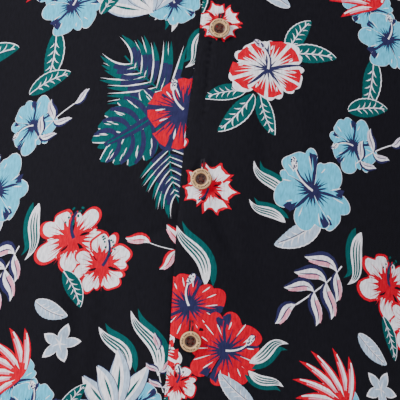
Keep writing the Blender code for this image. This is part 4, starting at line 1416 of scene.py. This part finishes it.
def painted(centres, shapes):
    """Ink of each centre: that of the last shape round it, or the ground."""
    order = np.argsort(centres[:, 0])
    centres = centres[order]
    ink = np.zeros(len(centres), int)
    for colour, points in shapes:
        (x0, y0), (x1, y1) = extent(points)
        a, b = np.searchsorted(centres[:, 0], (x0, x1))
        near = a + np.flatnonzero((centres[a:b, 1] > y0) & (centres[a:b, 1] < y1))
        if len(near):
            ink[near[wound(centres[near], points)]] = colour
    result = np.empty_like(ink)
    result[order] = ink
    return result


def raster(outline, step, box=None, keep_out=None):
    """Staggered grid of points inside an outline, at a step."""
    low, high = extent(outline) if box is None else box
    rows = np.arange(low[1], high[1], step * 0.87)
    grid = np.array([(x + (k % 2) * step / 2, y) for k, y in enumerate(rows)
                     for x in np.arange(low[0], high[0], step)])
    closed = np.append(outline, outline[:1], axis=0)
    grid = grid[wound(grid, outline) & (line_distance(grid, closed) > 0.3 * step)]
    if keep_out is not None:
        grid = grid[~((grid > keep_out[0]) & (grid < keep_out[1])).all(axis=1)]
    return grid


def resampled(loop, step):
    """The same closed line with no edge longer than the step."""
    out = []
    for a, b in zip(loop, np.roll(loop, -1, axis=0)):
        n = max(1, int(np.ceil(hypot(*(b - a)) / step)))
        out += [a + (b - a) * k / n for k in range(n)]
    return np.array(out)


def triangulated(loops, grid):
    """Triangles through closed loops, or pairs of points, and a grid."""
    starts = np.cumsum([0] + [len(loop) for loop in loops])
    edges = [(a + k, a + (k + 1) % (b - a))
             for a, b in zip(starts[:-1], starts[1:]) for k in range(b - a)]
    points = np.concatenate(loops + [grid])
    cut = delaunay_2d_cdt([Vector(p) for p in points], edges, [], 0, 1e-3, False)
    return np.array([tuple(v) for v in cut[0]]), np.array(cut[2])


def ink_edges(faces, ink):
    """Edges where the ink changes."""
    sides = np.concatenate([faces[:, [0, 1]], faces[:, [1, 2]], faces[:, [2, 0]]])
    inks = np.tile(ink, 3)
    low, high = sides.min(axis=1), sides.max(axis=1)
    order = np.lexsort((high, low))
    low, high, inks = low[order], high[order], inks[order]
    twin = (low[1:] == low[:-1]) & (high[1:] == high[:-1])
    change = np.flatnonzero(twin & (inks[1:] != inks[:-1]))
    return np.stack([low[change], high[change]], axis=1)


def inside(flat, faces, outline):
    """Which triangles lie inside an outline, without slivers along it."""
    centres = flat[faces].mean(axis=1)
    keep = wound(centres, outline)
    a, b, c = (flat[faces[:, k]] for k in range(3))
    twice = ((b - a)[:, 0] * (c - a)[:, 1] - (b - a)[:, 1] * (c - a)[:, 0])
    thin = np.flatnonzero(keep & (np.abs(twice) < 0.01))
    closed = np.append(outline, outline[:1], axis=0)
    keep[thin[line_distance(centres[thin], closed) < 0.01]] = False
    return keep


def ink_lines(outline, shapes):
    """Short lines, as pairs of flat points, along which the ink changes."""
    loops = [outline] + [points for _, points in shapes]
    flat, faces = triangulated(loops, np.empty((0, 2)))
    return flat[ink_edges(faces, painted(flat[faces].mean(axis=1), shapes))]


def inked(loops, grid, outline, shapes):
    """Flat points and triangles through the loops, and the ink of each."""
    flat, faces = triangulated(loops, grid)
    faces = faces[inside(flat, faces, outline)]
    ink = painted(flat[faces].mean(axis=1), shapes)
    used, faces = np.unique(faces, return_inverse=True)
    return flat[used], faces.reshape(-1, 3), ink


def cut_cloth(outline, place, detail, grid):
    """Flat cut of one printed piece, with the ink of each triangle.

    The first cut goes through every shape, and the second only where one ink
    meets another, so that hidden edges cost nothing.
    """
    low, high = extent(outline)
    shapes = [(ink, points) for ink, points in laid(place, low, high, detail)
              if (points.max(axis=0) > low).all() and (points.min(axis=0) < high).all()]
    pairs = ink_lines(outline, shapes)
    pairs = pairs[wound(pairs.mean(axis=1), outline)]
    return inked([outline] + list(pairs), grid, outline, shapes)


def rim_edges(faces):
    """Directed edges that belong to one triangle only."""
    sides = np.concatenate([faces[:, [0, 1]], faces[:, [1, 2]], faces[:, [2, 0]]])
    size = faces.max() + 1
    codes = sides[:, 0] * size + sides[:, 1]
    return sides[~np.isin(sides[:, 1] * size + sides[:, 0], codes)]


def inner_cut(rim, outline, place, grid):
    """Flat cut of the inner side, with only the whole shapes of the print.

    It keeps the points of the outer side's rim, where the two are joined.
    """
    low, high = extent(outline)
    shapes = laid(place, low, high, lambda root: 0)
    pairs = ink_lines(outline, shapes)
    closed = np.append(outline, outline[:1], axis=0)
    for k in (0, 1):
        pairs = pairs[wound(pairs[:, k], outline) & (line_distance(pairs[:, k], closed) > 0.05)]
    return inked(list(rim) + list(pairs), grid, outline, shapes)


print("cutting is ready")

# %% [markdown]
# ## From flat cloth to a shell
# The flat cut is carried to its place in space twice, for the two sides of the
# cloth, and a narrow rim joins them. The shading normals come from the smooth
# surface itself and not from the small triangles, so the cuts of the print
# leave no marks in the light.

# %% Shells of cloth
THICK = 0.6  # cloth with its nap, inwards from the wall


def normals_at(place, flat, off, outward):
    """Unit normals of a smooth surface at flat points."""
    step = 0.25
    across = place(flat + (step, 0), off) - place(flat - (step, 0), off)
    down = place(flat + (0, step), off) - place(flat - (0, step), off)
    return unit(np.cross(across, down) * outward, 1e-12)


def sheet_uv(flat, low, high, left, right):
    """Flat points fitted into an upright strip of the texture square."""
    share = (flat - low) / (high - low)
    return share * (right - left, 0.96) + (left, 0.03)


def shell(name, node, place, outer, inner):
    """One piece of printed cloth with two sides and a rim."""
    flat, faces, ink = outer
    flat_in, faces_in, ink_in = inner
    ahead = place(flat[:1] + (0.5, 0)) - place(flat[:1])
    down = place(flat[:1] + (0, 0.5)) - place(flat[:1])
    rise = place(flat[:1], 0.1) - place(flat[:1])
    outward = np.sign(np.sum(np.cross(ahead, down) * rise))
    if outward < 0:
        faces, faces_in = faces[:, ::-1], faces_in[:, ::-1]
    top, low_side = place(flat, 0.0), place(flat_in, -THICK)
    n = len(flat)
    # the inner side's rim has the same flat points as the outer side's
    below = {point: k + n for k, point in enumerate(map(tuple, flat_in))}
    rim = np.array([(b, a, below[tuple(flat[a])], below[tuple(flat[b])])
                    for a, b in rim_edges(faces)
                    if tuple(flat[a]) in below and tuple(flat[b]) in below])
    points = np.concatenate([top, low_side]) * MM
    mesh = bpy.data.meshes.new(name)
    mesh.from_pydata(points.tolist(), [], faces.tolist()
                     + (faces_in[:, ::-1] + n).tolist() + rim.tolist())
    mesh.shade_smooth()
    # shading normals
    up = normals_at(place, flat, 0.0, outward)
    under_up = -normals_at(place, flat_in, -THICK, outward)
    sideways = unit(np.cross(points[rim[:, 2]] - points[rim[:, 0]],
                             points[rim[:, 3]] - points[rim[:, 1]]), 1e-12)
    corner = np.concatenate([up[faces].reshape(-1, 3), under_up[faces_in[:, ::-1]].reshape(-1, 3),
                             np.repeat(sideways, 4, axis=0)])
    mesh.normals_split_custom_set(corner.tolist())
    # inks: the print shows through weakly on the inner side
    faint = INK_LIGHT[ink_in] * 0.45 + 0.035
    colours = np.concatenate([np.repeat(INK_LIGHT[ink], 3, axis=0), np.repeat(faint, 3, axis=0),
                              np.tile(INK_LIGHT[0], (4 * len(rim), 1))])
    colours = np.concatenate([colours, np.ones((len(colours), 1))], axis=1)
    layer = mesh.attributes.new("ink", "FLOAT_COLOR", "CORNER")
    layer.data.foreach_set("color", colours.ravel())
    place_ = mesh.attributes.new("flat", "FLOAT_VECTOR", "POINT")
    place_.data.foreach_set("vector", np.column_stack(
        [np.concatenate([flat, flat_in]), np.zeros(n + len(flat_in))]).ravel())
    # texture square: outer side, inner side and a strip for the rim
    low, high = extent(flat)
    outer_uv = sheet_uv(flat, low, high, 0.01, 0.69)[faces].reshape(-1, 2)
    inner_uv = sheet_uv(flat_in, low, high, 0.73, 0.99)
    inner_uv = inner_uv[faces_in[:, ::-1]].reshape(-1, 2)
    slot = 0.01 + 0.98 * np.arange(len(rim)) / len(rim)
    wide = 0.9 * 0.98 / len(rim)
    rim_uv = np.stack([np.stack([slot + wide * a, np.full(len(rim), b)], axis=1)
                       for a, b in ((1, 0.012), (0, 0.012), (0, 0.004), (1, 0.004))],
                      axis=1).reshape(-1, 2)
    uv = mesh.uv_layers.new(name="OFBake")
    uv.data.foreach_set("uv", np.concatenate([outer_uv, inner_uv, rim_uv]).ravel())
    mesh.materials.append(CLOTH)
    piece = put(name + "_cloth", mesh)
    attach(piece, "root")
    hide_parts(node)
    print(name, len(faces), "triangles outside,", len(faces_in), "inside")
    return piece


def sew(name, node, outline, detail, grid, grid_in=None):
    """Cut, print and wrap one piece."""
    outer = cut_cloth(outline, LAID[name], detail, grid)
    rim = outer[0][rim_edges(outer[1])]
    inner = inner_cut(rim, outline, LAID[name], grid if grid_in is None else grid_in)
    piece = shell(name, node, PLACES[name], outer, inner)

# %% [markdown]
# ## Materials
# The cloth takes its colour from the inks in the mesh. A fine plain weave lies
# over it as bump, and its colour is also painted slightly darker between the
# threads and lighter on their tops, as painted shade. Slight unevenness keeps the
# black ground from looking like plastic. The weave is worked out in a node group
# that gives only a colour and a height, so the same group serves every piece.

# %% Cloth
def nodes_of(tree):
    """Short ways to add nodes to a tree, with values or links for inputs."""
    def fill(socket, value):
        if isinstance(value, bpy.types.NodeSocket):
            tree.links.new(value, socket)
        else:
            socket.default_value = value

    def add(kind, inputs={}, **settings):
        node = tree.nodes.new(kind)
        for key, value in settings.items():
            setattr(node, key, value)
        for key, value in inputs.items():
            fill(node.inputs[key], value)
        return node

    def math(operation, *values):
        return add("ShaderNodeMath", dict(enumerate(values)), operation=operation).outputs[0]

    return add, math, tree.links.new


def noise(add, vector, stretch, detail):
    """Noise drawn out along the axes of a vector."""
    stretched = add("ShaderNodeVectorMath", {0: vector, 1: stretch}, operation="MULTIPLY")
    return add("ShaderNodeTexNoise", {"Scale": 1.0, "Detail": detail,
                                      "Vector": stretched.outputs[0]},
               noise_dimensions="3D").outputs["Fac"]


def new_material(name, roughness, specular):
    """Material and its shader, with its roughness and its shine."""
    material = bpy.data.materials.new(name)
    material.use_nodes = True
    shader = material.node_tree.nodes["Principled BSDF"]
    shader.inputs["Roughness"].default_value = roughness
    shader.inputs["Specular IOR Level"].default_value = specular
    return material, shader


WEAVE = 0.5  # mm from thread to thread


def weave_group():
    """Colour of inked cloth, with painted shade between the threads, and the height of its plain
    weave.
    """
    group = bpy.data.node_groups.new("plain weave", "ShaderNodeTree")
    for label, way, kind in (("Ink", "INPUT", "Color"), ("Color", "OUTPUT", "Color"),
                             ("Height", "OUTPUT", "Float")):
        group.interface.new_socket(label, in_out=way, socket_type="NodeSocket" + kind)
    add, math, join = nodes_of(group)
    source, out = add("NodeGroupInput"), add("NodeGroupOutput")
    flat = add("ShaderNodeAttribute", attribute_name="flat").outputs["Vector"]
    split = add("ShaderNodeSeparateXYZ", {0: flat})
    pitch = 2 * pi / WEAVE
    warp = math("SINE", math("MULTIPLY", split.outputs["X"], pitch))
    weft = math("SINE", math("MULTIPLY", split.outputs["Y"], pitch))
    height = math("MULTIPLY", math("MULTIPLY", warp, weft), 0.5)
    slub = noise(add, flat, (0.9, 0.22, 1.0), 3.0)
    join(math("ADD", height, math("MULTIPLY", slub, 0.8)), out.inputs["Height"])
    # uneven tone of the yarn, plus painted shade: darker between the weave's threads, lighter on
    # their tops
    shade = math("ADD", math("MULTIPLY", slub, 1.1), 0.45)
    shade = math("ADD", shade, math("MULTIPLY", height, 0.12))
    mix = add("ShaderNodeVectorMath", {0: source.outputs["Ink"], "Scale": shade},
              operation="SCALE")
    join(mix.outputs[0], out.inputs["Color"])
    return group


def cloth_material():
    """Printed rayon: soft and nearly matte."""
    material, shader = new_material("printed_rayon", 0.62, 0.06)
    add, math, join = nodes_of(material.node_tree)
    ink = add("ShaderNodeAttribute", attribute_name="ink")
    weave = add("ShaderNodeGroup", node_tree=weave_group())
    join(ink.outputs["Color"], weave.inputs["Ink"])
    join(weave.outputs["Color"], shader.inputs["Base Color"])
    bump = add("ShaderNodeBump", {"Strength": 0.5, "Distance": 0.00022,
                                  "Height": weave.outputs["Height"]})
    join(bump.outputs["Normal"], shader.inputs["Normal"])
    return material


CLOTH = cloth_material()
print("cloth material ready")

# %% [markdown]
# ## Sewing the pieces
# Every piece is now cut, printed and wrapped. The cloth is cut most finely
# where a shirt is looked at most, round the buttons of the upper front; the
# rest keeps all its shapes but not their smallest marks.

# %% Cut and wrap
FOCUS = {"front_left": np.array([(-13.0, 146.0), (96.0, 396.0)]),
         "front_right": np.array([(-98.0, 158.0), (13.0, 410.0)])}
FOCUS_EDGE = 28  # mm, motifs this far outside it are fine as well


def sew_body(name):
    """A front or the back, cut most finely inside its focus."""
    outline = resampled(OUTLINES[name], 6.0)
    if name not in FOCUS:
        sew(name, name, outline, lambda root: 1, raster(outline, 8.0))
        return
    box = FOCUS[name]
    low, high = box[0] - FOCUS_EDGE, box[1] + FOCUS_EDGE
    grid, rough = (np.concatenate([raster(outline, fine, box), raster(outline, coarse, None, box)])
                   for fine, coarse in ((2.5, 8.0), (4.0, 9.0)))
    sew(name, name, outline,
        lambda root: 3 if ((root > low) & (root < high)).all() else 2, grid, rough)


for name in ("back", "front_left", "front_right"):
    sew_body(name)

# %% Collar, lapels and sleeves
for name, node, step in (("collar", "collar", 2.5), ("lapel_left", "facing_left", 2.0),
                         ("lapel_right", "facing_right", 2.0), ("sleeve_left", "sleeve_left", 6.0),
                         ("sleeve_right", "sleeve_right", 6.0)):
    outline = resampled(OUTLINES[name], step + 1)
    sew(name, node, outline, lambda root: 2, raster(outline, step))

# %% [markdown]
# ## Stitches
# The front edge, the hems, the collar and the lapels are held by rows of small
# lockstitches in dark thread. Each stitch is a long flat bead that lies along
# its row and sinks a little into the cloth. A row is a line on the flat
# pattern, carried to its place in space like the cloth itself.

# %% Rows of stitches
PITCH, BEAD = 2.8, (1.1, 0.19, 0.16)  # mm, half length, width and height


def walk(line, pitch):
    """Points along a flat line at a pitch, and its direction at each."""
    steps = lengths(np.diff(line, axis=0))
    run = np.append(0, np.cumsum(steps))
    at = np.arange(pitch / 2, run[-1], pitch)
    points, ahead = (np.stack([np.interp(at + more, run, line[:, k]) for k in (0, 1)],
                              axis=1) for more in (0, 0.1))
    return points, ahead - points


def bead_frames(place, points, ahead, size):
    """Centres and axes of beads that lie on the cloth along a direction."""
    ahead = unit(ahead, 1e-12)
    centre = place(points, 0.03)
    along = unit(place(points + ahead * 0.3) - place(points - ahead * 0.3), 1e-12)
    up = place(points, 0.3) - place(points, 0.0)
    side = unit(np.cross(up, along), 1e-12)
    up = np.cross(along, side)
    return centre, along * size[0], side * size[1], up * size[2]


def joined_beads(name, frames, material):
    """One piece with a small rounded bead at every frame."""
    bm = bmesh.new()
    bmesh.ops.create_uvsphere(bm, u_segments=6, v_segments=4, radius=1.0,
                              matrix=Matrix.Rotation(pi / 2, 4, "Y"))
    shape = np.array([v.co for v in bm.verts])
    faces = [[v.index for v in f.verts] for f in bm.faces]
    bm.free()
    centre, along, side, up = (np.concatenate(part) for part in zip(*frames))
    points = (centre[:, None] + shape[None, :, :1] * along[:, None]
              + shape[None, :, 1:2] * side[:, None] + shape[None, :, 2:] * up[:, None])
    count = len(shape)
    mesh = bpy.data.meshes.new(name)
    mesh.from_pydata((points.reshape(-1, 3) * MM).tolist(), [], [[v + k * count for v in face]
                      for k in range(len(centre)) for face in faces])
    mesh.shade_smooth()
    mesh.materials.append(material)
    piece = put(name, mesh)
    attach(piece, "root")
    print(name, len(centre), "beads,", len(mesh.polygons), "faces")


def plain(name, colour, roughness, specular=0.2):
    """Simple material of one colour."""
    material, shader = new_material(name, roughness, specular)
    shader.inputs["Base Color"].default_value = (*linear(colour), 1)
    return material


# %% Where the rows run
DOWN = np.linspace(BREAK + 3, HEM_DROP + 36, 60)
ROWS = []  # piece, line on its pattern
edge = np.full(len(DOWN), -OVERLAP + EDGE_STITCH)
ROWS.append(("front_left", np.stack([edge, DOWN], axis=1)))
for name, side, hand in (("front_left", FRONT, 1), ("front_right", FRONT, -1),
                         ("back", BACK, 1), ("back", BACK, -1)):
    across = np.linspace(-OVERLAP if side == FRONT else 0, SIDE_SEAM[side] - 2, 50)
    ROWS.append((name, np.stack([across * hand, hem(side, across) - HEM + HEM_ROW], axis=1)))
for name in ("sleeve_left", "sleeve_right"):
    low = OUTLINES[name][:, 0].min() * 0.76
    across = np.linspace(low, -low, 40)
    ROWS.append((name, np.stack([across, 0 * across - HEM + HEM_ROW], axis=1)))
ROWS.append(("collar", OUTLINES["collar"][2:COLLAR_POINTS - 2]
             * (1, 1 - COLLAR_STITCH / COLLAR_DEPTH)))
for hand, side in (("left", 1), ("right", -1)):
    foot, tip, notch = LAPEL[side]
    ROWS.append(("lapel_" + hand, np.array([
        (foot[1] + 8, ROLL + 2.0), (tip[1] - 5, ROLL + tip[2] - 9),
        (notch[1] - 6, ROLL + notch[2] - 3), (notch[0] - 6, ROLL + 6.0)])))
THREAD = plain("dark thread", (40, 38, 46), 0.6)
frames = [bead_frames(PLACES[name], *walk(line, PITCH), BEAD) for name, line in ROWS]

# %% [markdown]
# ## Buttonholes
# A buttonhole is a slit between two bars of dense thread. It runs down the
# front line, and its lower part lies hidden under the button.

# %% Buttonholes
for k in range(BUTTON_COUNT):
    middle = BUTTON_TOP + k * BUTTON_STEP - 3.6
    down = np.arange(middle - 8.0, middle + 8.0, 0.42)
    for side in (-0.85, 0.85):
        points = np.stack([np.full(len(down), side), down], axis=1)
        frames.append(bead_frames(PLACES["front_left"], points,
                                  np.tile((1.0, 0.15), (len(down), 1)), (0.62, 0.24, 0.26)))
    ends = np.array([(s, middle + e) for s in (-0.9, -0.3, 0.3, 0.9) for e in (-8.3, 8.3)])
    frames.append(bead_frames(PLACES["front_left"], ends,
                              np.tile((0.0, 1.0), (len(ends), 1)), (0.7, 0.26, 0.27)))
joined_beads("stitches", frames, THREAD)

# %% [markdown]
# ## Buttons
# The buttons are turned from coconut wood: a broad pale rim round a dark dish
# with four holes. The section is spun round the axis and the holes are cut
# with a Boolean. A ring of short dark marks is burnt into the rim, and brown
# thread ties each button through its holes.

# %% Button mesh
TURNED = [(0.0, 0.9), (2.4, 0.9), (3.0, 1.0), (3.4, 1.4), (3.75, 2.1), (4.0, 2.45),
          (4.35, 2.66), (5.0, 2.78), (5.45, 2.75), (5.85, 2.5), (6.2, 2.05),
          (6.34, 1.62), (6.2, 1.1), (5.85, 0.55), (5.4, 0.1), (5.2, 0.0), (0.0, 0.0)]
HOLE_RADIUS, HOLE_PLACE = 0.85, 1.25


def tube(path, radius, sides=8):
    """Vertices and faces of a round tube along a path."""
    ahead = unit(np.gradient(path, axis=0))
    side = unit(np.cross(ahead, (0.31, 0.47, 0.83)))
    up = np.cross(ahead, side)
    turn = 2 * pi * np.arange(sides) / sides
    points = (path[:, None] + radius * (np.cos(turn)[None, :, None] * side[:, None]
                                        + np.sin(turn)[None, :, None] * up[:, None]))
    faces = [(i * sides + j, i * sides + (j + 1) % sides,
              (i + 1) * sides + (j + 1) % sides, (i + 1) * sides + j)
             for i in range(len(path) - 1) for j in range(sides)]
    return points.reshape(-1, 3), faces


def turned_button():
    """Spun button with drilled holes, in mm about its own axis."""
    bm = bmesh.new()
    line = [bm.verts.new((r, 0, z)) for r, z in TURNED]
    edges = [bm.edges.new(pair) for pair in zip(line, line[1:])]
    bmesh.ops.spin(bm, geom=line + edges, cent=(0, 0, 0), axis=(0, 0, 1),
                   angle=2 * pi, steps=56, use_merge=True, use_duplicate=False)
    bmesh.ops.remove_doubles(bm, verts=bm.verts, dist=1e-4)
    bmesh.ops.recalc_face_normals(bm, faces=bm.faces)
    body = put("button body", bpy.data.meshes.new("button body"))
    bm.to_mesh(body.data)
    bm.free()
    bm = bmesh.new()
    for x in (-HOLE_PLACE, HOLE_PLACE):
        for y in (-HOLE_PLACE, HOLE_PLACE):
            bmesh.ops.create_cone(bm, cap_ends=True, segments=20, radius1=HOLE_RADIUS,
                                  radius2=HOLE_RADIUS, depth=8,
                                  matrix=Matrix.Translation((x, y, 0)))
    drill = put("drill", bpy.data.meshes.new("drill"))
    bm.to_mesh(drill.data)
    bm.free()
    holes = body.modifiers.new("holes", "BOOLEAN")
    holes.operation, holes.object = "DIFFERENCE", drill
    bpy.context.view_layer.update()
    ready = bpy.data.meshes.new_from_object(
        body.evaluated_get(bpy.context.evaluated_depsgraph_get()))
    for piece in (body, drill):
        bpy.data.objects.remove(piece)
    return ready


def button_thread():
    """Vertices and faces of the thread: crossed strands and a short shank."""
    paths = []
    for turn in (45, 135):
        c, k = cos_sin(turn)
        for side in (-0.25, 0.0, 0.25):
            reach = HOLE_PLACE * 2 ** 0.5
            u = np.linspace(-1, 1, 15)
            run = np.clip(u * 1.35, -1, 1) * reach
            rise = (1.28 + (0.16 if turn == 45 else 0.0)
                    - 2.2 * np.clip(np.abs(u) * 1.35 - 0.82, 0, 1))
            paths.append((0.15, [run * c - side * k, run * k + side * c, rise]))
    for x, y in ((0.3, 0.3), (-0.3, 0.3), (0.3, -0.3), (-0.3, -0.3)):
        paths.append((0.34, [np.full(5, x), np.full(5, y), np.linspace(-1.4, 0.5, 5)]))
    points, faces = [], []
    for radius, path in paths:
        more, quads = tube(np.stack(path, axis=1), radius)
        faces += [[v + len(points) for v in q] for q in quads]
        points += more.tolist()
    return np.array(points), faces


# %% Wood
DASHES, DASH_RING = 34, 4.85  # how many, and the radius that they lie on


def wood_material():
    """Pale rim, dark dish, burnt marks and fine grain, read off the disc."""
    material, shader = new_material("coconut_wood", 0.42, 0.4)
    add, math, join = nodes_of(material.node_tree)

    def wood(colour):
        return (*linear(colour), 1)

    def mixed(factor, a, b):
        return add("ShaderNodeMix", {"Factor": factor, "A": a, "B": b},
                   data_type="RGBA").outputs["Result"]

    disc = add("ShaderNodeAttribute", attribute_name="disc").outputs["Vector"]
    split = add("ShaderNodeSeparateXYZ", {0: disc})
    x, y = split.outputs["X"], split.outputs["Y"]
    radius = math("SQRT", math("ADD", math("MULTIPLY", x, x), math("MULTIPLY", y, y)))
    turn = math("MULTIPLY", math("ARCTAN2", y, x), DASHES / (2 * pi))
    luck = add("ShaderNodeTexWhiteNoise", {"W": math("FLOOR", turn)},
               noise_dimensions="1D").outputs["Value"]
    inside_dash = math("GREATER_THAN", math("FRACT", turn),
                       math("ADD", math("MULTIPLY", luck, 0.3), 0.25))
    reach = math("ADD", math("MULTIPLY", luck, 0.22), 0.42)
    band = math("LESS_THAN", math("ABSOLUTE", math("SUBTRACT", radius, DASH_RING)), reach)
    present = math("LESS_THAN", luck, 0.88)
    mark = math("MULTIPLY", math("MULTIPLY", inside_dash, band), present)
    grain = noise(add, disc, (4.5, 0.7, 1.5), 5.0)
    rim = mixed(math("MULTIPLY_ADD", grain, 1.6, -0.25),
                wood((176, 122, 76)), wood((238, 200, 150)))
    dish = mixed(grain, wood((44, 25, 21)), wood((100, 62, 50)))
    whole = mixed(math("MULTIPLY", math("SUBTRACT", radius, 3.35), 5.0), dish, rim)
    outer = mixed(math("MULTIPLY", math("SUBTRACT", radius, 6.02), 6.0), whole,
                  wood((112, 76, 50)))
    burnt = mixed(math("MULTIPLY", mark, 0.95), outer, wood((34, 18, 12)))
    join(burnt, shader.inputs["Base Color"])
    bump = add("ShaderNodeBump", {"Strength": 0.4, "Distance": 0.0001,
        "Height": math("SUBTRACT", math("MULTIPLY", grain, 0.4), mark)})
    join(bump.outputs["Normal"], shader.inputs["Normal"])
    return material


# %% Buttons in place
def button_place(t, tip):
    """Frame of a button on the front line, just off the cloth."""
    lift = float(over_lift(0.0)) + WALL + BUTTON_CLEAR + BUTTON_FOOT * sin(radians(tip))
    at = wrap(FRONT, np.array(0.0), np.array(t), lift)
    n = Vector(normal(FRONT, np.array(0.0), np.array(t)))
    side = Vector((1, 0, 0))
    side = n.cross(side).normalized().cross(n)
    n.rotate(Quaternion(side, radians(tip)))
    turned = Matrix((side, n.cross(side), n)).transposed().to_4x4()
    return Matrix.Translation(Vector(at) * MM) @ turned


WOOD = wood_material()
TIE = plain("brown thread", (92, 52, 44), 0.6)
DISC = turned_button()
TIE_POINTS, TIE_FACES = button_thread()
for k in range(BUTTON_COUNT):
    name = f"wood_button_{k + 1}"
    bm = bmesh.new()
    bm.from_mesh(DISC)
    wood_faces = len(bm.faces)
    verts = [bm.verts.new(p) for p in TIE_POINTS]
    for face in TIE_FACES:
        bm.faces.new([verts[v] for v in face])
    bm.faces.ensure_lookup_table()
    for face in bm.faces[wood_faces:]:
        face.material_index = 1
    mesh = bpy.data.meshes.new(name)
    bm.to_mesh(mesh)
    bm.free()
    spin = radians(37 * k)
    where = np.array([v.co for v in mesh.vertices])
    where = where @ np.array([[cos(spin), sin(spin), 0], [-sin(spin), cos(spin), 0], [0, 0, 1]])
    disc = mesh.attributes.new("disc", "FLOAT_VECTOR", "POINT")
    disc.data.foreach_set("vector", (where + (0, 0, 20 * k)).ravel())
    mesh.transform(button_place(BUTTON_TOP + k * BUTTON_STEP, BUTTON_TIP[k]) @ Matrix.Scale(MM, 4))
    mesh.shade_smooth()
    mesh.set_sharp_from_angle(angle=radians(40))
    mesh.materials.append(WOOD)
    mesh.materials.append(TIE)
    piece = put(name, mesh)
    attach(piece, "root")
    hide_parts(f"button_{k + 1}")
print(BUTTON_COUNT, "buttons of", len(mesh.polygons), "faces")

# %% [markdown]
# ## Floor, light and camera
# A pale plain floor and a soft light from the upper left show the cloth. The
# camera looks from in front at the upper buttons, from a little above.

# %% Floor and light
bm = bmesh.new()
bmesh.ops.create_grid(bm, x_segments=1, y_segments=1, size=4.0)
mesh = bpy.data.meshes.new("floor")
bm.to_mesh(mesh)
bm.free()
mesh.materials.append(plain("floor", (236, 236, 238), 0.9))
floor = put("floor", mesh)
floor.location.z = -0.76


def lamp(name, place, aim, size, power):
    """Square soft light at a place, turned to where it aims."""
    light = bpy.data.lights.new(name, "AREA")
    light.size = size
    light.energy = power
    holder = put(name, light)
    holder.location = place
    turned = (Vector(aim) - Vector(place)).to_track_quat("-Z", "Y")
    holder.rotation_euler = turned.to_euler()


SECOND_BUTTON = np.array([[0.0, BUTTON_TOP + BUTTON_STEP]])
FRONT_MIDDLE = Vector(PLACES["front_left"](SECOND_BUTTON)[0]) * MM
lamp("key", (-1.5, -1.1, 1.0), FRONT_MIDDLE, 0.6, 56)
lamp("fill", (1.4, -1.3, 0.1), FRONT_MIDDLE, 1.4, 14)
lamp("behind", (0.5, 1.8, 0.9), (0, 0, -0.3), 1.2, 16)
world = bpy.data.worlds.new("soft sky")
bpy.context.scene.world = world
world.use_nodes = True
world.node_tree.nodes["Background"].inputs[0].default_value = (0.9, 0.92, 1.0, 1)
world.node_tree.nodes["Background"].inputs[1].default_value = 0.46

# %% Camera
SHOW = 0.237  # metres across the view at the middle button
DISTANCE = 1.0
UPWARD, ROLL_TURN = radians(3.1), radians(5.34)

away = Vector((0, -cos(UPWARD), sin(UPWARD)))
up = Vector((0, sin(UPWARD), cos(UPWARD)))
right = Vector((1, 0, 0))
up_turned = up * cos(ROLL_TURN) - right * sin(ROLL_TURN)
right_turned = right * cos(ROLL_TURN) + up * sin(ROLL_TURN)
aim = FRONT_MIDDLE - 0.0121 * up_turned - 0.0006 * right_turned
lens = bpy.data.cameras.new("camera")
lens.sensor_width = 36
lens.lens = 36 * DISTANCE / SHOW
eye = put("camera", lens)
eye.matrix_world = Matrix.Translation(aim + away * DISTANCE) @ Matrix(
    (right_turned, up_turned, away)).transposed().to_4x4()
bpy.context.scene.camera = eye
